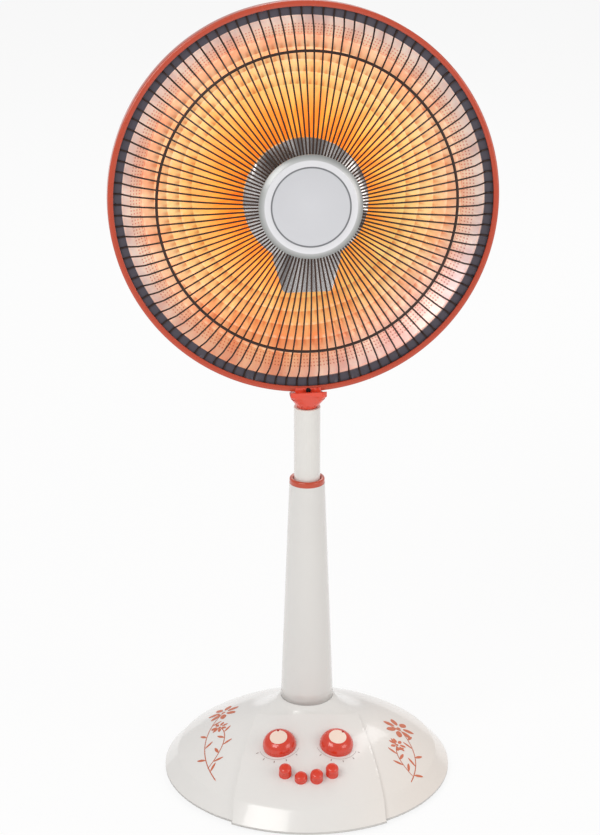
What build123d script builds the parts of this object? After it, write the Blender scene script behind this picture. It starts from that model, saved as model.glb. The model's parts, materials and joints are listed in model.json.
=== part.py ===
from build123d import *
import math
import os

# Pedestal radiant heater: a round base with a control panel, a tapered column,
# a sliding pole, a swivel neck and a tilting dish with a lamp behind a wire guard.
# Millimetres. The origin is on the floor under the column, +Z is up and -Y is the front.

os.makedirs("parts", exist_ok=True)

# Fits
touch_gap = 0.05
running_gap = 0.05
loose_gap = 0.3
overcut = 1.0

# Base
base_radius = 156.0
foot_height = 3.0
plate_thickness = 3.0
wall_run = 14.5
crease_height = 22.0
dome_mid_radius = 104.0
dome_mid_height = 44.2
shoulder_radius = 76.0
column_seat_height = 87.0
cover_wall = 2.8
plate_edge_round = 1.0
locating_lip_height = 3.0
locating_lip_wall = 2.0

# Raised control panel, given by its edge in plan
panel_step = 3.0
panel_rear_half = 55.0
panel_rear_y = -8.0
panel_rear_mid_y = -38.0
panel_mid_half = 70.5
panel_mid_y = -72.0
panel_front_half = 80.5
panel_front_y = -125.0
panel_nose_half = 82.5

# Ballast and feet
ballast_thickness = 6.0
ballast_inner_radius = 45.0
ballast_outer_radius = 124.0
ballast_screw_count = 3
ballast_screw_circle = 66.0
foot_count = 5
foot_circle = 138.0
foot_radius = 10.0
foot_stem_radius = 4.0
cover_screw_circle = 136.0
cover_post_radius = 5.0

# Screws
screw_radius = 1.9
screw_head_radius = 3.8
screw_head_height = 1.8
screw_clear = 0.15
small_screw_radius = 1.3
small_screw_head_radius = 2.6
small_screw_head_height = 1.6

# Column
column_foot_radius = 28.5
column_top_radius = 19.0
column_top_height = 339.0
column_wall = 2.4
column_spigot_radius = 24.8
column_spigot_length = 12.0
guide_tube_radius = 17.0
guide_tube_wall = 2.0
flange_radius = 42.0
flange_thickness = 3.0
flange_socket_wall = 3.0
flange_socket_height = 18.0
flange_screw_count = 4
flange_screw_circle = 32.0
bush_length = 30.0
bush_flange_height = 2.0
collar_height = 6.0
collar_edge_round = 2.0

# Pole
pole_radius = 14.0
pole_wall = 1.2
pole_top_height = 424.0
pole_foot_height = 160.0
foot_bush_height = 10.0
foot_bush_spigot = 18.0
foot_bush_bore = 8.0
friction_ring_width = 4.0
friction_ring_depth = 1.9

# Swivel neck
head_yaw = 5.5
head_tilt = 8.5
hinge_height = 433.0
stem_radius = 11.0
stem_length = 27.0
liner_flange_height = 1.0
neck_half_width = 20.5
neck_half_depth = 18.0
neck_corner = 7.0
neck_low_gap = 0.5
neck_shoulder_height = 441.0
neck_cheek_height = 437.0
neck_front_height = 446.5
neck_front_wall = 2.6
flute_count = 12
flute_radius = 0.9
flute_height = 4.0
stem_washer_thickness = 1.5
stem_bolt_radius = 3.0
stem_bolt_head_radius = 5.0
stem_bolt_head_height = 4.0
stem_bolt_length = 16.0
tilt_pin_radius = 2.2
tilt_pin_length = 27.0
knuckle_radius = 4.8
knuckle_width = 14.4
friction_washer_thickness = 1.0
friction_washer_radius = 4.4

# Head, in its own radial and forward measures from the middle of the rim
hoop_radius = 203.0
hoop_wall = 4.5
hoop_front = 4.0
hoop_back = 14.0
hoop_lip = 1.6
hinge_drop = 10.0
hinge_behind = 6.0
band_width = 10.0
band_thickness = 3.0
sheet_thickness = 1.0
shell_flange_thickness = 2.0
dish_radius = 187.0
dish_depth = 78.0
dish_lip_depth = 4.0
facet_count = 108
facet_inner_radius = 113.0
facet_row_pitch = 13.5
facet_row_count = 4
dish_lip_width = 7.0
dish_flat_radius = 24.0
facet_ridge = 0.8
facet_ledge = 0.3

# Wire guard
wire_count = 108
wire_width = 1.8
wire_thickness = 1.8
guard_ring_radius = 154.5
guard_ring_width = 2.8
guard_ring_forward = 30.0
guard_hub_forward = 55.0
guard_hub_radius = 53.3
guard_hub_bore = 30.0
guard_waist_radius = 105.0
guard_waist_forward = 46.5
guard_outer_radius = 178.0
guard_outer_forward = 17.0
hub_flat_radius = 47.8
hub_edge_height = 1.6
hub_thickness = 4.8
hub_groove_radius = 40.3
hub_groove_width = 1.6
hub_groove_depth = 0.8
hub_back_radius = 44.0
hub_back_thickness = 2.0
hub_boss_radius = 9.0

# Lamp and shield
shield_radius = 64.5
shield_front = 15.0
shield_depth = 11.0
shield_shoulder_half = 35.0
shield_shoulder_drop = 61.0
shield_tail_half = 25.2
shield_tail_drop = 95.0
shield_corner = 5.0
stay_radius = 2.5
stay_foot_radius = 5.0
stay_foot_height = 2.0
stay_circle = 24.0
stay_count = 3
lamp_plane = -12.0
lamp_ring_radius = 42.0
lamp_tube_radius = 5.0
lamp_tube_wall = 1.0
lamp_leg_half = 8.0
lamp_bend_radius = 10.0
lamp_leg_end = 84.0
filament_radius = 0.9
cap_radius = 6.5
cap_length = 17.0
cap_socket_depth = 4.0
holder_half_width = 17.0
holder_near = 86.0
holder_far = 98.0
holder_top = -3.0
clip_wall = 1.4
clip_width = 4.0
clip_post_radius = 2.0

# Rear shell
shell_wall = 2.0
shell_shoulder_radius = 170.0
shell_shoulder_depth = 60.0
shell_back_radius = 66.0
shell_back_depth = 104.0
vent_count = 24
vent_width = 3.4
vent_inner_radius = 70.0
vent_outer_radius = 96.0
rear_cap_radius = 54.0
rear_cap_height = 12.0
rear_cap_wall = 2.0
rear_cap_round = 4.0
rear_cap_screw_circle = 47.0
rear_cap_screw_count = 3
head_screw_count = 6
head_screw_circle = 194.6
baffle_radius = 62.0
baffle_thickness = 0.8
baffle_leg_length = 9.0
baffle_leg_size = 6.0
baffle_leg_circle = 50.0
cutout_radius = 8.0
cutout_height = 9.0

# Knobs
knob_half_spacing = 30.5
knob_y = -66.0
knob_tilt = 22.0
knob_splay = 5.5
knob_radius = 18.0
knob_height = 13.2
knob_cap_radius = 9.4
knob_cap_thickness = 1.0
knob_seat_depth = 1.2
knob_seat_gap = 0.8
knob_side_bulge = 2.6
knob_notch_radius = 1.4
knob_notch_angle_right = -36.0
knob_shaft_radius = 3.0
knob_shaft_up = 8.0
control_plate_depth = 9.0
control_plate_thickness = 2.4
control_plate_half_width = 18.0
control_plate_half_length = 25.0
control_screw_offset = 21.0
control_post_radius = 3.6
timer_body_half = 17.0
timer_body_depth = 20.0
thermostat_body_radius = 16.0
thermostat_body_depth = 15.0
control_bushing_radius = 5.5
control_bushing_height = 4.5
control_bore_depth = 11.0

# Keys
key_radius = 6.8
key_rise = 11.2
key_travel = 4.0
key_half_pitch = 8.3
key_row_y = -109.0
key_arc_step = 7.6
key_tilt = 24.0
key_skirt_radius = 7.9
key_skirt_top = 5.4
key_skirt_height = 1.2
key_stem_radius = 2.6
key_stem_end = 18.0
key_top_round = 3.6
switch_top = 11.0
switch_depth = 13.5
switch_half_width = 36.0
switch_half_length = 13.0
switch_ear_half = 48.0
switch_ear_thickness = 2.2
switch_screw_x = 43.0

# Parts on the floor of the base
tip_y = 92.0
tip_box = (30.0, 20.0, 24.0)
plunger_radius = 4.0
plunger_length = 22.0
plunger_tip_radius = 6.0
plunger_tip_height = 2.4
plunger_clear_floor = 0.3
terminal_box = (44.0, 18.0, 12.0)
terminal_pos = (62.0, 62.0)
terminal_slot_pitch = 11.0
gland_height = 15.0
gland_radius = 5.8
gland_flange_radius = 7.2
gland_flange_thickness = 2.6
gland_bore = 3.2
gland_length = 15.0
boss_half_width = 13.0
boss_face_y = 154.5
boss_wall = 3.0
boss_height = 24.0

# Worked out from the sizes above
plate_top = foot_height + plate_thickness
crease_radius = base_radius - wall_run
wall_slope = wall_run / (crease_height - plate_top)
hoop_bore = hoop_radius - hoop_wall
ring_fit = hoop_bore - 2 * touch_gap
guide_bore = guide_tube_radius - guide_tube_wall
pole_bore = pole_radius - pole_wall
guide_tube_foot = plate_top + flange_thickness
guide_tube_top = column_top_height - bush_flange_height
cover_screw_angles = [36 + 72 * i for i in range(foot_count)]


# The dome is part of a ball whose centre is on the axis
dome_centre_z = (
    dome_mid_radius ** 2 + dome_mid_height ** 2 - crease_radius ** 2 - crease_height ** 2
) / (2 * (dome_mid_height - crease_height))
dome_radius = math.hypot(crease_radius, crease_height - dome_centre_z)


def dome_surface(radius, rise=0.0):
    """Height of the dome at a radius, on a surface raised by rise."""
    return dome_centre_z + math.sqrt((dome_radius + rise) ** 2 - radius ** 2)


def panel_height(x, y):
    """Height of the raised panel's surface at a place in plan."""
    return dome_surface(math.hypot(x, y), panel_step)


def tilted_plane(x, y, z, tilt, splay=0.0):
    """A plane that leans to the front by tilt and outwards by splay."""
    side = math.sin(math.radians(splay))
    front = -math.sin(math.radians(tilt)) * math.cos(math.radians(splay))
    up = math.cos(math.radians(tilt)) * math.cos(math.radians(splay))
    across = Vector(up, 0, -side).normalized()
    return Plane(origin=(x, y, z), x_dir=across, z_dir=(side, front, up))


# Planes of the neck and the head. Forward is the way that the dish faces.
yaw, tilt = math.radians(head_yaw), math.radians(head_tilt)
head_right = Vector(math.cos(yaw), math.sin(yaw), 0)
head_forward = Vector(
    math.sin(yaw) * math.cos(tilt), -math.cos(yaw) * math.cos(tilt), math.sin(tilt)
)
head_up = head_forward.cross(head_right)
hinge_point = Vector(0, 0, hinge_height)
rim_centre = (
    hinge_point + head_up * (hoop_radius + hinge_drop) + head_forward * hinge_behind
)
head_plane = Plane(origin=rim_centre, x_dir=head_right, z_dir=head_forward)
head_section = Plane(origin=rim_centre, x_dir=head_right, z_dir=head_up * -1)
head_axis = Axis(rim_centre, head_forward)
neck_plane = Plane(origin=(0, 0, 0), x_dir=head_right, z_dir=(0, 0, 1))
hinge_plane = Plane(origin=hinge_point, x_dir=head_forward, z_dir=head_right)


def dish_forward(radius):
    """Forward place of the dish's inner face at a radius: a paraboloid."""
    share = (radius / dish_radius) ** 2
    return -dish_depth + (dish_depth - dish_lip_depth) * share


# Outer form of the base cover, as one solid, and the room inside it
def cover_section(inset):
    """Half section of the base cover's outer form, moved in by inset."""
    low = plate_top - crease_height
    with BuildSketch(Plane.XZ) as section:
        with BuildLine():
            wall_foot = (crease_radius + wall_slope * (crease_height - low), low)
            wall = Line(wall_foot, (crease_radius, crease_height))
            dome = ThreePointArc(
                wall @ 1,
                (dome_mid_radius, dome_mid_height),
                (shoulder_radius, dome_surface(shoulder_radius)),
            )
            flare = TangentArc(
                dome @ 1,
                (column_foot_radius + overcut, column_seat_height),
                tangent=dome % 1,
            )
            core = -2 * column_foot_radius
            Polyline(flare @ 1, (core, column_seat_height), (core, low), wall @ 0)
        make_face()
        if inset:
            offset(amount=-inset, kind=Kind.INTERSECTION)
        with Locations((0, plate_top)):
            Rectangle(
                base_radius + panel_step + overcut,
                column_seat_height,
                align=(Align.MIN, Align.MIN),
                mode=Mode.INTERSECT,
            )
    return section.sketch


def panel_outline(inset):
    """Outline in plan of the raised panel, moved in by inset."""
    nose_y = -(base_radius + panel_step + overcut)
    with BuildSketch(Plane.XY.offset(plate_top)) as outline:
        with BuildLine():
            rear = ThreePointArc(
                (-panel_rear_half, panel_rear_y),
                (0, panel_rear_mid_y),
                (panel_rear_half, panel_rear_y),
            )
            right = ThreePointArc(
                rear @ 1,
                (panel_mid_half, panel_mid_y),
                (panel_front_half, panel_front_y),
            )
            nose = Polyline(
                right @ 1,
                (panel_nose_half, nose_y),
                (-panel_nose_half, nose_y),
                (-panel_front_half, panel_front_y),
            )
            ThreePointArc(nose @ 1, (-panel_mid_half, panel_mid_y), rear @ 0)
        make_face()
        if inset:
            offset(amount=-inset, kind=Kind.INTERSECTION)
    return outline.sketch


with BuildPart() as panel_form:
    add(cover_section(-panel_step))
    revolve(axis=Axis.Z)
    extrude(panel_outline(0), amount=column_seat_height, mode=Mode.INTERSECT)

with BuildPart() as cover_form:
    add(cover_section(0))
    revolve(axis=Axis.Z)
    add(panel_form.part)

with BuildPart() as panel_room:
    add(cover_section(cover_wall - panel_step))
    revolve(axis=Axis.Z)
    extrude(panel_outline(cover_wall), amount=column_seat_height, mode=Mode.INTERSECT)

with BuildPart() as cover_room:
    add(cover_section(cover_wall))
    revolve(axis=Axis.Z)

# Planes of the controls
knob_z = panel_height(knob_half_spacing, knob_y)
timer_plane = tilted_plane(-knob_half_spacing, knob_y, knob_z, knob_tilt, -knob_splay)
thermostat_plane = tilted_plane(
    knob_half_spacing, knob_y, knob_z, knob_tilt, knob_splay
)
key_plane = tilted_plane(0, key_row_y, panel_height(0, key_row_y), key_tilt)
key_spots = [
    (-3 * key_half_pitch, key_arc_step / 2),
    (-key_half_pitch, -key_arc_step / 2),
    (key_half_pitch, -key_arc_step / 2),
    (3 * key_half_pitch, key_arc_step / 2),
]
control_screw_spots = [(0, -control_screw_offset), (0, control_screw_offset)]

# Posts under the cover, cut to its outer form
with BuildPart() as cover_posts:
    with BuildSketch(Plane.XY.offset(plate_top)):
        for angle in cover_screw_angles:
            with PolarLocations(cover_screw_circle, 1, start_angle=angle):
                Circle(cover_post_radius)
    extrude(amount=crease_height)
    for plane in (timer_plane, thermostat_plane):
        with BuildSketch(plane.offset(-control_plate_depth)):
            with Locations(*control_screw_spots):
                Circle(control_post_radius)
        extrude(amount=2 * control_plate_depth)
    with BuildSketch(key_plane.offset(-switch_top)):
        with Locations((-switch_screw_x, 0), (switch_screw_x, 0)):
            Circle(control_post_radius)
    extrude(amount=2 * switch_top)
    add(cover_form.part, mode=Mode.INTERSECT)

with BuildPart() as base_cover:
    add(cover_form.part)
    with BuildSketch(Plane.XY.offset(plate_top)):
        with Locations((0, boss_face_y)):
            Rectangle(
                2 * boss_half_width, 2 * cover_wall + boss_wall + wall_run,
                align=(Align.CENTER, Align.MAX),
            )
    extrude(amount=boss_height - plate_top)
    add(cover_room.part, mode=Mode.SUBTRACT)
    add(panel_room.part, mode=Mode.SUBTRACT)
    with BuildSketch(Plane.XY.offset(plate_top)):
        with Locations((0, boss_face_y - boss_wall)):
            Rectangle(
                2 * (boss_half_width - cover_wall), 3 * wall_run,
                align=(Align.CENTER, Align.MAX),
            )
    extrude(amount=boss_height - plate_top - cover_wall, mode=Mode.SUBTRACT)
    add(cover_posts.part)
    # Seat of the column
    with BuildSketch(Plane.XY.offset(plate_top)):
        Circle(column_spigot_radius + 2 * touch_gap)
    extrude(amount=column_seat_height, mode=Mode.SUBTRACT)
    # Flat seats and shaft holes of the knobs
    for plane in (timer_plane, thermostat_plane):
        with BuildSketch(plane.offset(-knob_seat_depth)):
            Circle(knob_radius + knob_seat_gap)
        extrude(amount=2 * knob_height, mode=Mode.SUBTRACT)
        with BuildSketch(plane):
            Circle(control_bushing_radius + loose_gap)
        extrude(amount=-control_plate_depth, mode=Mode.SUBTRACT)
        with BuildSketch(plane.offset(-control_plate_depth)):
            with Locations(*control_screw_spots):
                Circle(small_screw_radius + screw_clear)
        extrude(amount=control_plate_depth / 2, mode=Mode.SUBTRACT)
    # Key holes
    with BuildSketch(key_plane.offset(-switch_top)):
        with Locations(*key_spots):
            Circle(key_radius + loose_gap)
    extrude(amount=2 * switch_top, mode=Mode.SUBTRACT)
    with BuildSketch(key_plane.offset(-switch_top)):
        with Locations((-switch_screw_x, 0), (switch_screw_x, 0)):
            Circle(small_screw_radius + screw_clear)
    extrude(amount=control_plate_depth / 3, mode=Mode.SUBTRACT)
    # Pilot holes of the screws that hold the bottom plate
    with BuildSketch(Plane.XY.offset(plate_top)):
        for angle in cover_screw_angles:
            with PolarLocations(cover_screw_circle, 1, start_angle=angle):
                Circle(screw_radius + screw_clear)
    extrude(amount=crease_height / 2, mode=Mode.SUBTRACT)
    # Cord gland hole
    with BuildSketch(Plane(origin=(0, boss_face_y, gland_height), z_dir=(0, 1, 0))):
        Circle(gland_radius + 2 * touch_gap)
    extrude(amount=-2 * boss_wall, mode=Mode.SUBTRACT)
base_cover.part.label = "base_cover"

with BuildPart() as base_bottom:
    lip_top_radius = base_radius - wall_slope * locating_lip_height
    lip_radius = lip_top_radius - cover_wall * math.hypot(1, wall_slope) - loose_gap
    with BuildSketch(Plane.XY.offset(foot_height)):
        Circle(base_radius + panel_step + overcut)
        with Locations((0, -base_radius)):
            Rectangle(2 * panel_nose_half, base_radius, mode=Mode.INTERSECT)
        Circle(base_radius)
    extrude(amount=plate_thickness)
    fillet(base_bottom.edges().group_by(Axis.Z)[0], radius=plate_edge_round)
    with BuildSketch(Plane.XY.offset(plate_top)):
        Circle(lip_radius)
        Circle(lip_radius - locating_lip_wall, mode=Mode.SUBTRACT)
        with Locations((0, base_radius)):
            Rectangle(
                2 * boss_half_width + 2 * loose_gap, 3 * wall_run, mode=Mode.SUBTRACT
            )
    extrude(amount=locating_lip_height)
    with BuildSketch(Plane.XY.offset(foot_height)):
        with PolarLocations(foot_circle, foot_count):
            Circle(foot_stem_radius)
        for angle in cover_screw_angles:
            with PolarLocations(cover_screw_circle, 1, start_angle=angle):
                Circle(screw_radius + screw_clear)
        with PolarLocations(flange_screw_circle, flange_screw_count, start_angle=45):
            Circle(screw_radius + screw_clear)
        with PolarLocations(ballast_screw_circle, ballast_screw_count, start_angle=30):
            Circle(screw_radius + screw_clear)
        with Locations((0, tip_y)):
            Circle(plunger_radius + loose_gap)
    extrude(amount=plate_thickness, mode=Mode.SUBTRACT)
base_bottom.part.label = "base_bottom"

with BuildPart() as rubber_feet:
    with BuildSketch():
        with PolarLocations(foot_circle, foot_count):
            Circle(foot_radius)
    extrude(amount=foot_height)
    chamfer(rubber_feet.edges().group_by(Axis.Z)[0], length=plate_edge_round)
    with BuildSketch(Plane.XY.offset(foot_height)):
        with PolarLocations(foot_circle, foot_count):
            Circle(foot_stem_radius - touch_gap)
    extrude(amount=plate_thickness)
rubber_feet.part.label = "rubber_feet"

with BuildPart() as base_screws:
    for angle in cover_screw_angles:
        with BuildSketch(Plane.XY.offset(foot_height)):
            with PolarLocations(cover_screw_circle, 1, start_angle=angle):
                Circle(screw_head_radius)
        extrude(amount=-screw_head_height)
        with BuildSketch(Plane.XY.offset(foot_height)):
            with PolarLocations(cover_screw_circle, 1, start_angle=angle):
                Circle(screw_radius)
        extrude(amount=crease_height / 2)
base_screws.part.label = "base_screws"

with BuildPart() as ballast:
    with BuildSketch(Plane.XY.offset(plate_top)):
        Circle(ballast_outer_radius)
        Circle(ballast_inner_radius, mode=Mode.SUBTRACT)
        with PolarLocations(ballast_screw_circle, ballast_screw_count, start_angle=30):
            Circle(screw_radius + screw_clear, mode=Mode.SUBTRACT)
        with Locations((0, tip_y)):
            Rectangle(
                tip_box[0] + 2 * loose_gap,
                tip_box[1] + 2 * loose_gap,
                mode=Mode.SUBTRACT,
            )
    extrude(amount=ballast_thickness)
ballast.part.label = "ballast"

# Column: steel flange and guide tube inside a tapered white sleeve
with BuildPart() as column_flange:
    with BuildSketch(Plane.XY.offset(plate_top)):
        Circle(flange_radius)
        with PolarLocations(flange_screw_circle, flange_screw_count, start_angle=45):
            Circle(screw_radius + screw_clear, mode=Mode.SUBTRACT)
    extrude(amount=flange_thickness)
    with BuildSketch(Plane.XY.offset(guide_tube_foot)):
        Circle(guide_tube_radius + touch_gap + flange_socket_wall)
        Circle(guide_tube_radius + touch_gap, mode=Mode.SUBTRACT)
    extrude(amount=flange_socket_height)
column_flange.part.label = "column_flange"

# Screws that hold the flange and the ballast on the floor plate
with BuildPart() as floor_screws:
    for circle, count, turn, seat in (
        (flange_screw_circle, flange_screw_count, 45, guide_tube_foot),
        (ballast_screw_circle, ballast_screw_count, 30, plate_top + ballast_thickness),
    ):
        with BuildSketch(Plane.XY.offset(seat)):
            with PolarLocations(circle, count, start_angle=turn):
                Circle(screw_head_radius)
        extrude(amount=screw_head_height)
        with BuildSketch(Plane.XY.offset(seat)):
            with PolarLocations(circle, count, start_angle=turn):
                Circle(screw_radius)
        extrude(amount=foot_height - seat)
floor_screws.part.label = "floor_screws"

with BuildPart() as guide_tube:
    with BuildSketch(Plane.XY.offset(guide_tube_foot)):
        Circle(guide_tube_radius)
        Circle(guide_bore, mode=Mode.SUBTRACT)
    extrude(amount=guide_tube_top - guide_tube_foot)
guide_tube.part.label = "guide_tube"

with BuildPart() as column_sleeve:
    sleeve_bore = guide_tube_radius + touch_gap
    spigot_foot = column_seat_height - column_spigot_length
    grip_foot = column_top_height - column_spigot_length
    with BuildSketch(Plane.XZ):
        with BuildLine():
            Polyline(
                (column_spigot_radius - column_wall, spigot_foot),
                (column_spigot_radius, spigot_foot),
                (column_spigot_radius, column_seat_height),
                (column_foot_radius, column_seat_height),
                (column_top_radius, column_top_height),
                (sleeve_bore, column_top_height),
                (sleeve_bore, grip_foot),
                (column_foot_radius - column_wall, column_seat_height + 2 * column_wall),
                (column_spigot_radius - column_wall, column_seat_height),
                close=True,
            )
        make_face()
    revolve(axis=Axis.Z)
column_sleeve.part.label = "column_sleeve"

with BuildPart() as guide_bush:
    bush_bore = pole_radius + running_gap
    with BuildSketch(Plane.XY.offset(guide_tube_top)):
        Circle(guide_tube_radius)
        Circle(bush_bore, mode=Mode.SUBTRACT)
    extrude(amount=bush_flange_height)
    with BuildSketch(Plane.XY.offset(guide_tube_top)):
        Circle(guide_bore - touch_gap)
        Circle(bush_bore, mode=Mode.SUBTRACT)
    extrude(amount=-(bush_length - bush_flange_height))
guide_bush.part.label = "guide_bush"

with BuildPart() as collar_ring:
    with BuildSketch(Plane.XY.offset(column_top_height)):
        Circle(column_top_radius - loose_gap)
        Circle(pole_radius + loose_gap, mode=Mode.SUBTRACT)
    extrude(amount=collar_height)
    fillet(collar_ring.edges().group_by(Axis.Z)[-1], radius=collar_edge_round)
collar_ring.part.label = "collar_ring"

# Pole and its bushes
with BuildPart() as pole_tube:
    with BuildSketch(Plane.XY.offset(pole_foot_height)):
        Circle(pole_radius)
        Circle(pole_bore, mode=Mode.SUBTRACT)
    extrude(amount=pole_top_height - pole_foot_height)
pole_tube.part.label = "pole_tube"

foot_bush_radius = guide_bore - running_gap
ring_low = pole_foot_height - foot_bush_height / 2 - friction_ring_width / 2
with BuildPart() as pole_foot_bush:
    with BuildSketch(Plane.XY.offset(pole_foot_height - foot_bush_height)):
        Circle(foot_bush_radius)
        Circle(foot_bush_bore, mode=Mode.SUBTRACT)
    extrude(amount=foot_bush_height)
    with BuildSketch(Plane.XY.offset(pole_foot_height)):
        Circle(pole_bore - touch_gap)
        Circle(foot_bush_bore, mode=Mode.SUBTRACT)
    extrude(amount=foot_bush_spigot)
    with BuildSketch(Plane.XY.offset(ring_low)):
        Circle(foot_bush_radius + overcut)
        Circle(foot_bush_radius - friction_ring_depth, mode=Mode.SUBTRACT)
    extrude(amount=friction_ring_width, mode=Mode.SUBTRACT)
pole_foot_bush.part.label = "pole_foot_bush"

with BuildPart() as friction_ring:
    with BuildSketch(Plane.XY.offset(ring_low + touch_gap)):
        Circle(foot_bush_radius + running_gap / 2)
        Circle(foot_bush_radius - friction_ring_depth + touch_gap, mode=Mode.SUBTRACT)
    extrude(amount=friction_ring_width - 2 * touch_gap)
friction_ring.part.label = "friction_ring"

liner_top = pole_top_height + liner_flange_height
neck_foot = liner_top + neck_low_gap
stem_foot = neck_foot - stem_length
liner_foot = stem_foot + loose_gap
with BuildPart() as neck_liner:
    with BuildSketch(Plane.XY.offset(liner_foot)):
        Circle(pole_bore - touch_gap)
        Circle(stem_radius + running_gap, mode=Mode.SUBTRACT)
    extrude(amount=liner_top - liner_foot)
    with BuildSketch(Plane.XY.offset(pole_top_height)):
        Circle(pole_radius - 2 * touch_gap)
        Circle(stem_radius + running_gap, mode=Mode.SUBTRACT)
    extrude(amount=liner_flange_height)
neck_liner.part.label = "neck_liner"

# Swivel neck: a stem in the pole, a fluted funnel, two cheeks and a front lip
with BuildPart() as swivel_neck:
    with BuildSketch(neck_plane.offset(neck_foot)):
        Circle(stem_radius + running_gap)
    with BuildSketch(neck_plane.offset(neck_shoulder_height)):
        RectangleRounded(2 * neck_half_width, 2 * neck_half_depth, neck_corner)
    loft()
    with BuildSketch(neck_plane.offset(neck_shoulder_height)):
        RectangleRounded(2 * neck_half_width, 2 * neck_half_depth, neck_corner)
    extrude(amount=neck_front_height - neck_shoulder_height)
    # Room behind the front lip for the rim
    with BuildSketch(neck_plane.offset(neck_cheek_height)):
        with Locations((0, neck_front_wall - neck_half_depth)):
            Rectangle(
                2 * neck_half_width + overcut,
                2 * neck_half_depth,
                align=(Align.CENTER, Align.MIN),
            )
    extrude(amount=neck_front_height, mode=Mode.SUBTRACT)
    # Slot of the knuckle, open to the back
    slot_half = knuckle_width / 2 + friction_washer_thickness + 2 * touch_gap
    slot_floor = hinge_height - knuckle_radius - loose_gap
    with BuildSketch(neck_plane.offset(slot_floor)):
        with Locations((0, -knuckle_radius - 3 * loose_gap)):
            Rectangle(
                2 * slot_half, 2 * neck_half_depth, align=(Align.CENTER, Align.MIN)
            )
    extrude(amount=neck_front_height, mode=Mode.SUBTRACT)
    with BuildSketch(hinge_plane.offset(-neck_half_width)):
        Circle(tilt_pin_radius + touch_gap)
    extrude(amount=2 * neck_half_width, mode=Mode.SUBTRACT)
    # Flutes round the foot of the funnel
    with BuildSketch(neck_plane.offset(neck_foot)):
        with PolarLocations(stem_radius + 2 * flute_radius, flute_count):
            Circle(flute_radius)
    extrude(amount=flute_height, mode=Mode.SUBTRACT)
    with BuildSketch(neck_plane.offset(stem_foot)):
        Circle(stem_radius)
    extrude(amount=stem_length)
    with BuildSketch(neck_plane.offset(stem_foot)):
        Circle(stem_bolt_radius + touch_gap)
    extrude(amount=stem_bolt_length, mode=Mode.SUBTRACT)
swivel_neck.part.label = "swivel_neck"

with BuildPart() as stem_washer:
    with BuildSketch(neck_plane.offset(stem_foot - stem_washer_thickness)):
        Circle(pole_bore - loose_gap)
        Circle(stem_bolt_radius + touch_gap, mode=Mode.SUBTRACT)
    extrude(amount=stem_washer_thickness)
stem_washer.part.label = "stem_washer"

with BuildPart() as stem_bolt:
    bolt_seat = stem_foot - stem_washer_thickness
    with BuildSketch(neck_plane.offset(bolt_seat)):
        RegularPolygon(stem_bolt_head_radius, 6)
    extrude(amount=-stem_bolt_head_height)
    with BuildSketch(neck_plane.offset(bolt_seat)):
        Circle(stem_bolt_radius)
    extrude(amount=stem_bolt_length)
stem_bolt.part.label = "stem_bolt"

with BuildPart() as tilt_pin:
    with BuildSketch(hinge_plane.offset(-tilt_pin_length / 2)):
        Circle(tilt_pin_radius)
    extrude(amount=tilt_pin_length)
tilt_pin.part.label = "tilt_pin"

with BuildPart() as friction_washers:
    for side in (-1, 1):
        with BuildSketch(hinge_plane.offset(side * (knuckle_width / 2 + touch_gap))):
            Circle(friction_washer_radius)
            Circle(tilt_pin_radius + touch_gap, mode=Mode.SUBTRACT)
        extrude(amount=side * friction_washer_thickness)
friction_washers.part.label = "friction_washers"

# Head: the bracket that carries the rim on the tilt pin
with BuildPart() as tilt_bracket:
    saddle_half = neck_half_width - neck_corner
    saddle_front = hoop_front + touch_gap
    with BuildSketch(head_plane.offset(-hoop_back)):
        Circle(hoop_radius + touch_gap + shell_wall)
        Circle(hoop_radius + touch_gap, mode=Mode.SUBTRACT)
        with Locations((0, -hoop_radius)):
            Rectangle(2 * saddle_half, hoop_radius / 2, mode=Mode.INTERSECT)
    extrude(amount=hoop_back + saddle_front + shell_wall)
    with BuildSketch(head_plane.offset(saddle_front)):
        Circle(hoop_radius + touch_gap + shell_wall)
        Circle(hoop_bore, mode=Mode.SUBTRACT)
        with Locations((0, -hoop_radius)):
            Rectangle(2 * saddle_half, hoop_radius / 2, mode=Mode.INTERSECT)
    extrude(amount=shell_wall)
    with BuildSketch(head_plane.offset(-hinge_behind - knuckle_radius)):
        with Locations((0, -hoop_radius - touch_gap)):
            Rectangle(knuckle_width, hinge_drop, align=(Align.CENTER, Align.MAX))
    extrude(amount=2 * knuckle_radius)
    with BuildSketch(hinge_plane.offset(-knuckle_width / 2)):
        Circle(knuckle_radius)
    extrude(amount=knuckle_width)
    with BuildSketch(hinge_plane.offset(-knuckle_width / 2)):
        Circle(tilt_pin_radius + running_gap)
    extrude(amount=knuckle_width, mode=Mode.SUBTRACT)
    with BuildSketch(head_plane.offset(saddle_front)):
        with Locations((0, -hoop_radius + hoop_wall / 2)):
            Circle(small_screw_radius + screw_clear)
    extrude(amount=shell_wall, mode=Mode.SUBTRACT)
tilt_bracket.part.label = "tilt_bracket"

with BuildPart() as rim_hoop:
    with BuildSketch(head_section):
        with BuildLine():
            Polyline(
                (hoop_bore, -hoop_back),
                (hoop_radius, -hoop_back),
                (hoop_radius, hoop_front),
                (hoop_bore - hoop_lip, hoop_front),
                (hoop_bore - hoop_lip, wire_thickness + touch_gap),
                (hoop_bore, wire_thickness + touch_gap),
                close=True,
            )
        make_face()
    revolve(axis=head_axis)
    with BuildSketch(head_plane.offset(hoop_front)):
        with Locations((0, -hoop_radius + hoop_wall / 2)):
            Circle(small_screw_radius + screw_clear)
    extrude(amount=-hoop_back / 2, mode=Mode.SUBTRACT)
rim_hoop.part.label = "rim_hoop"

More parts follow.
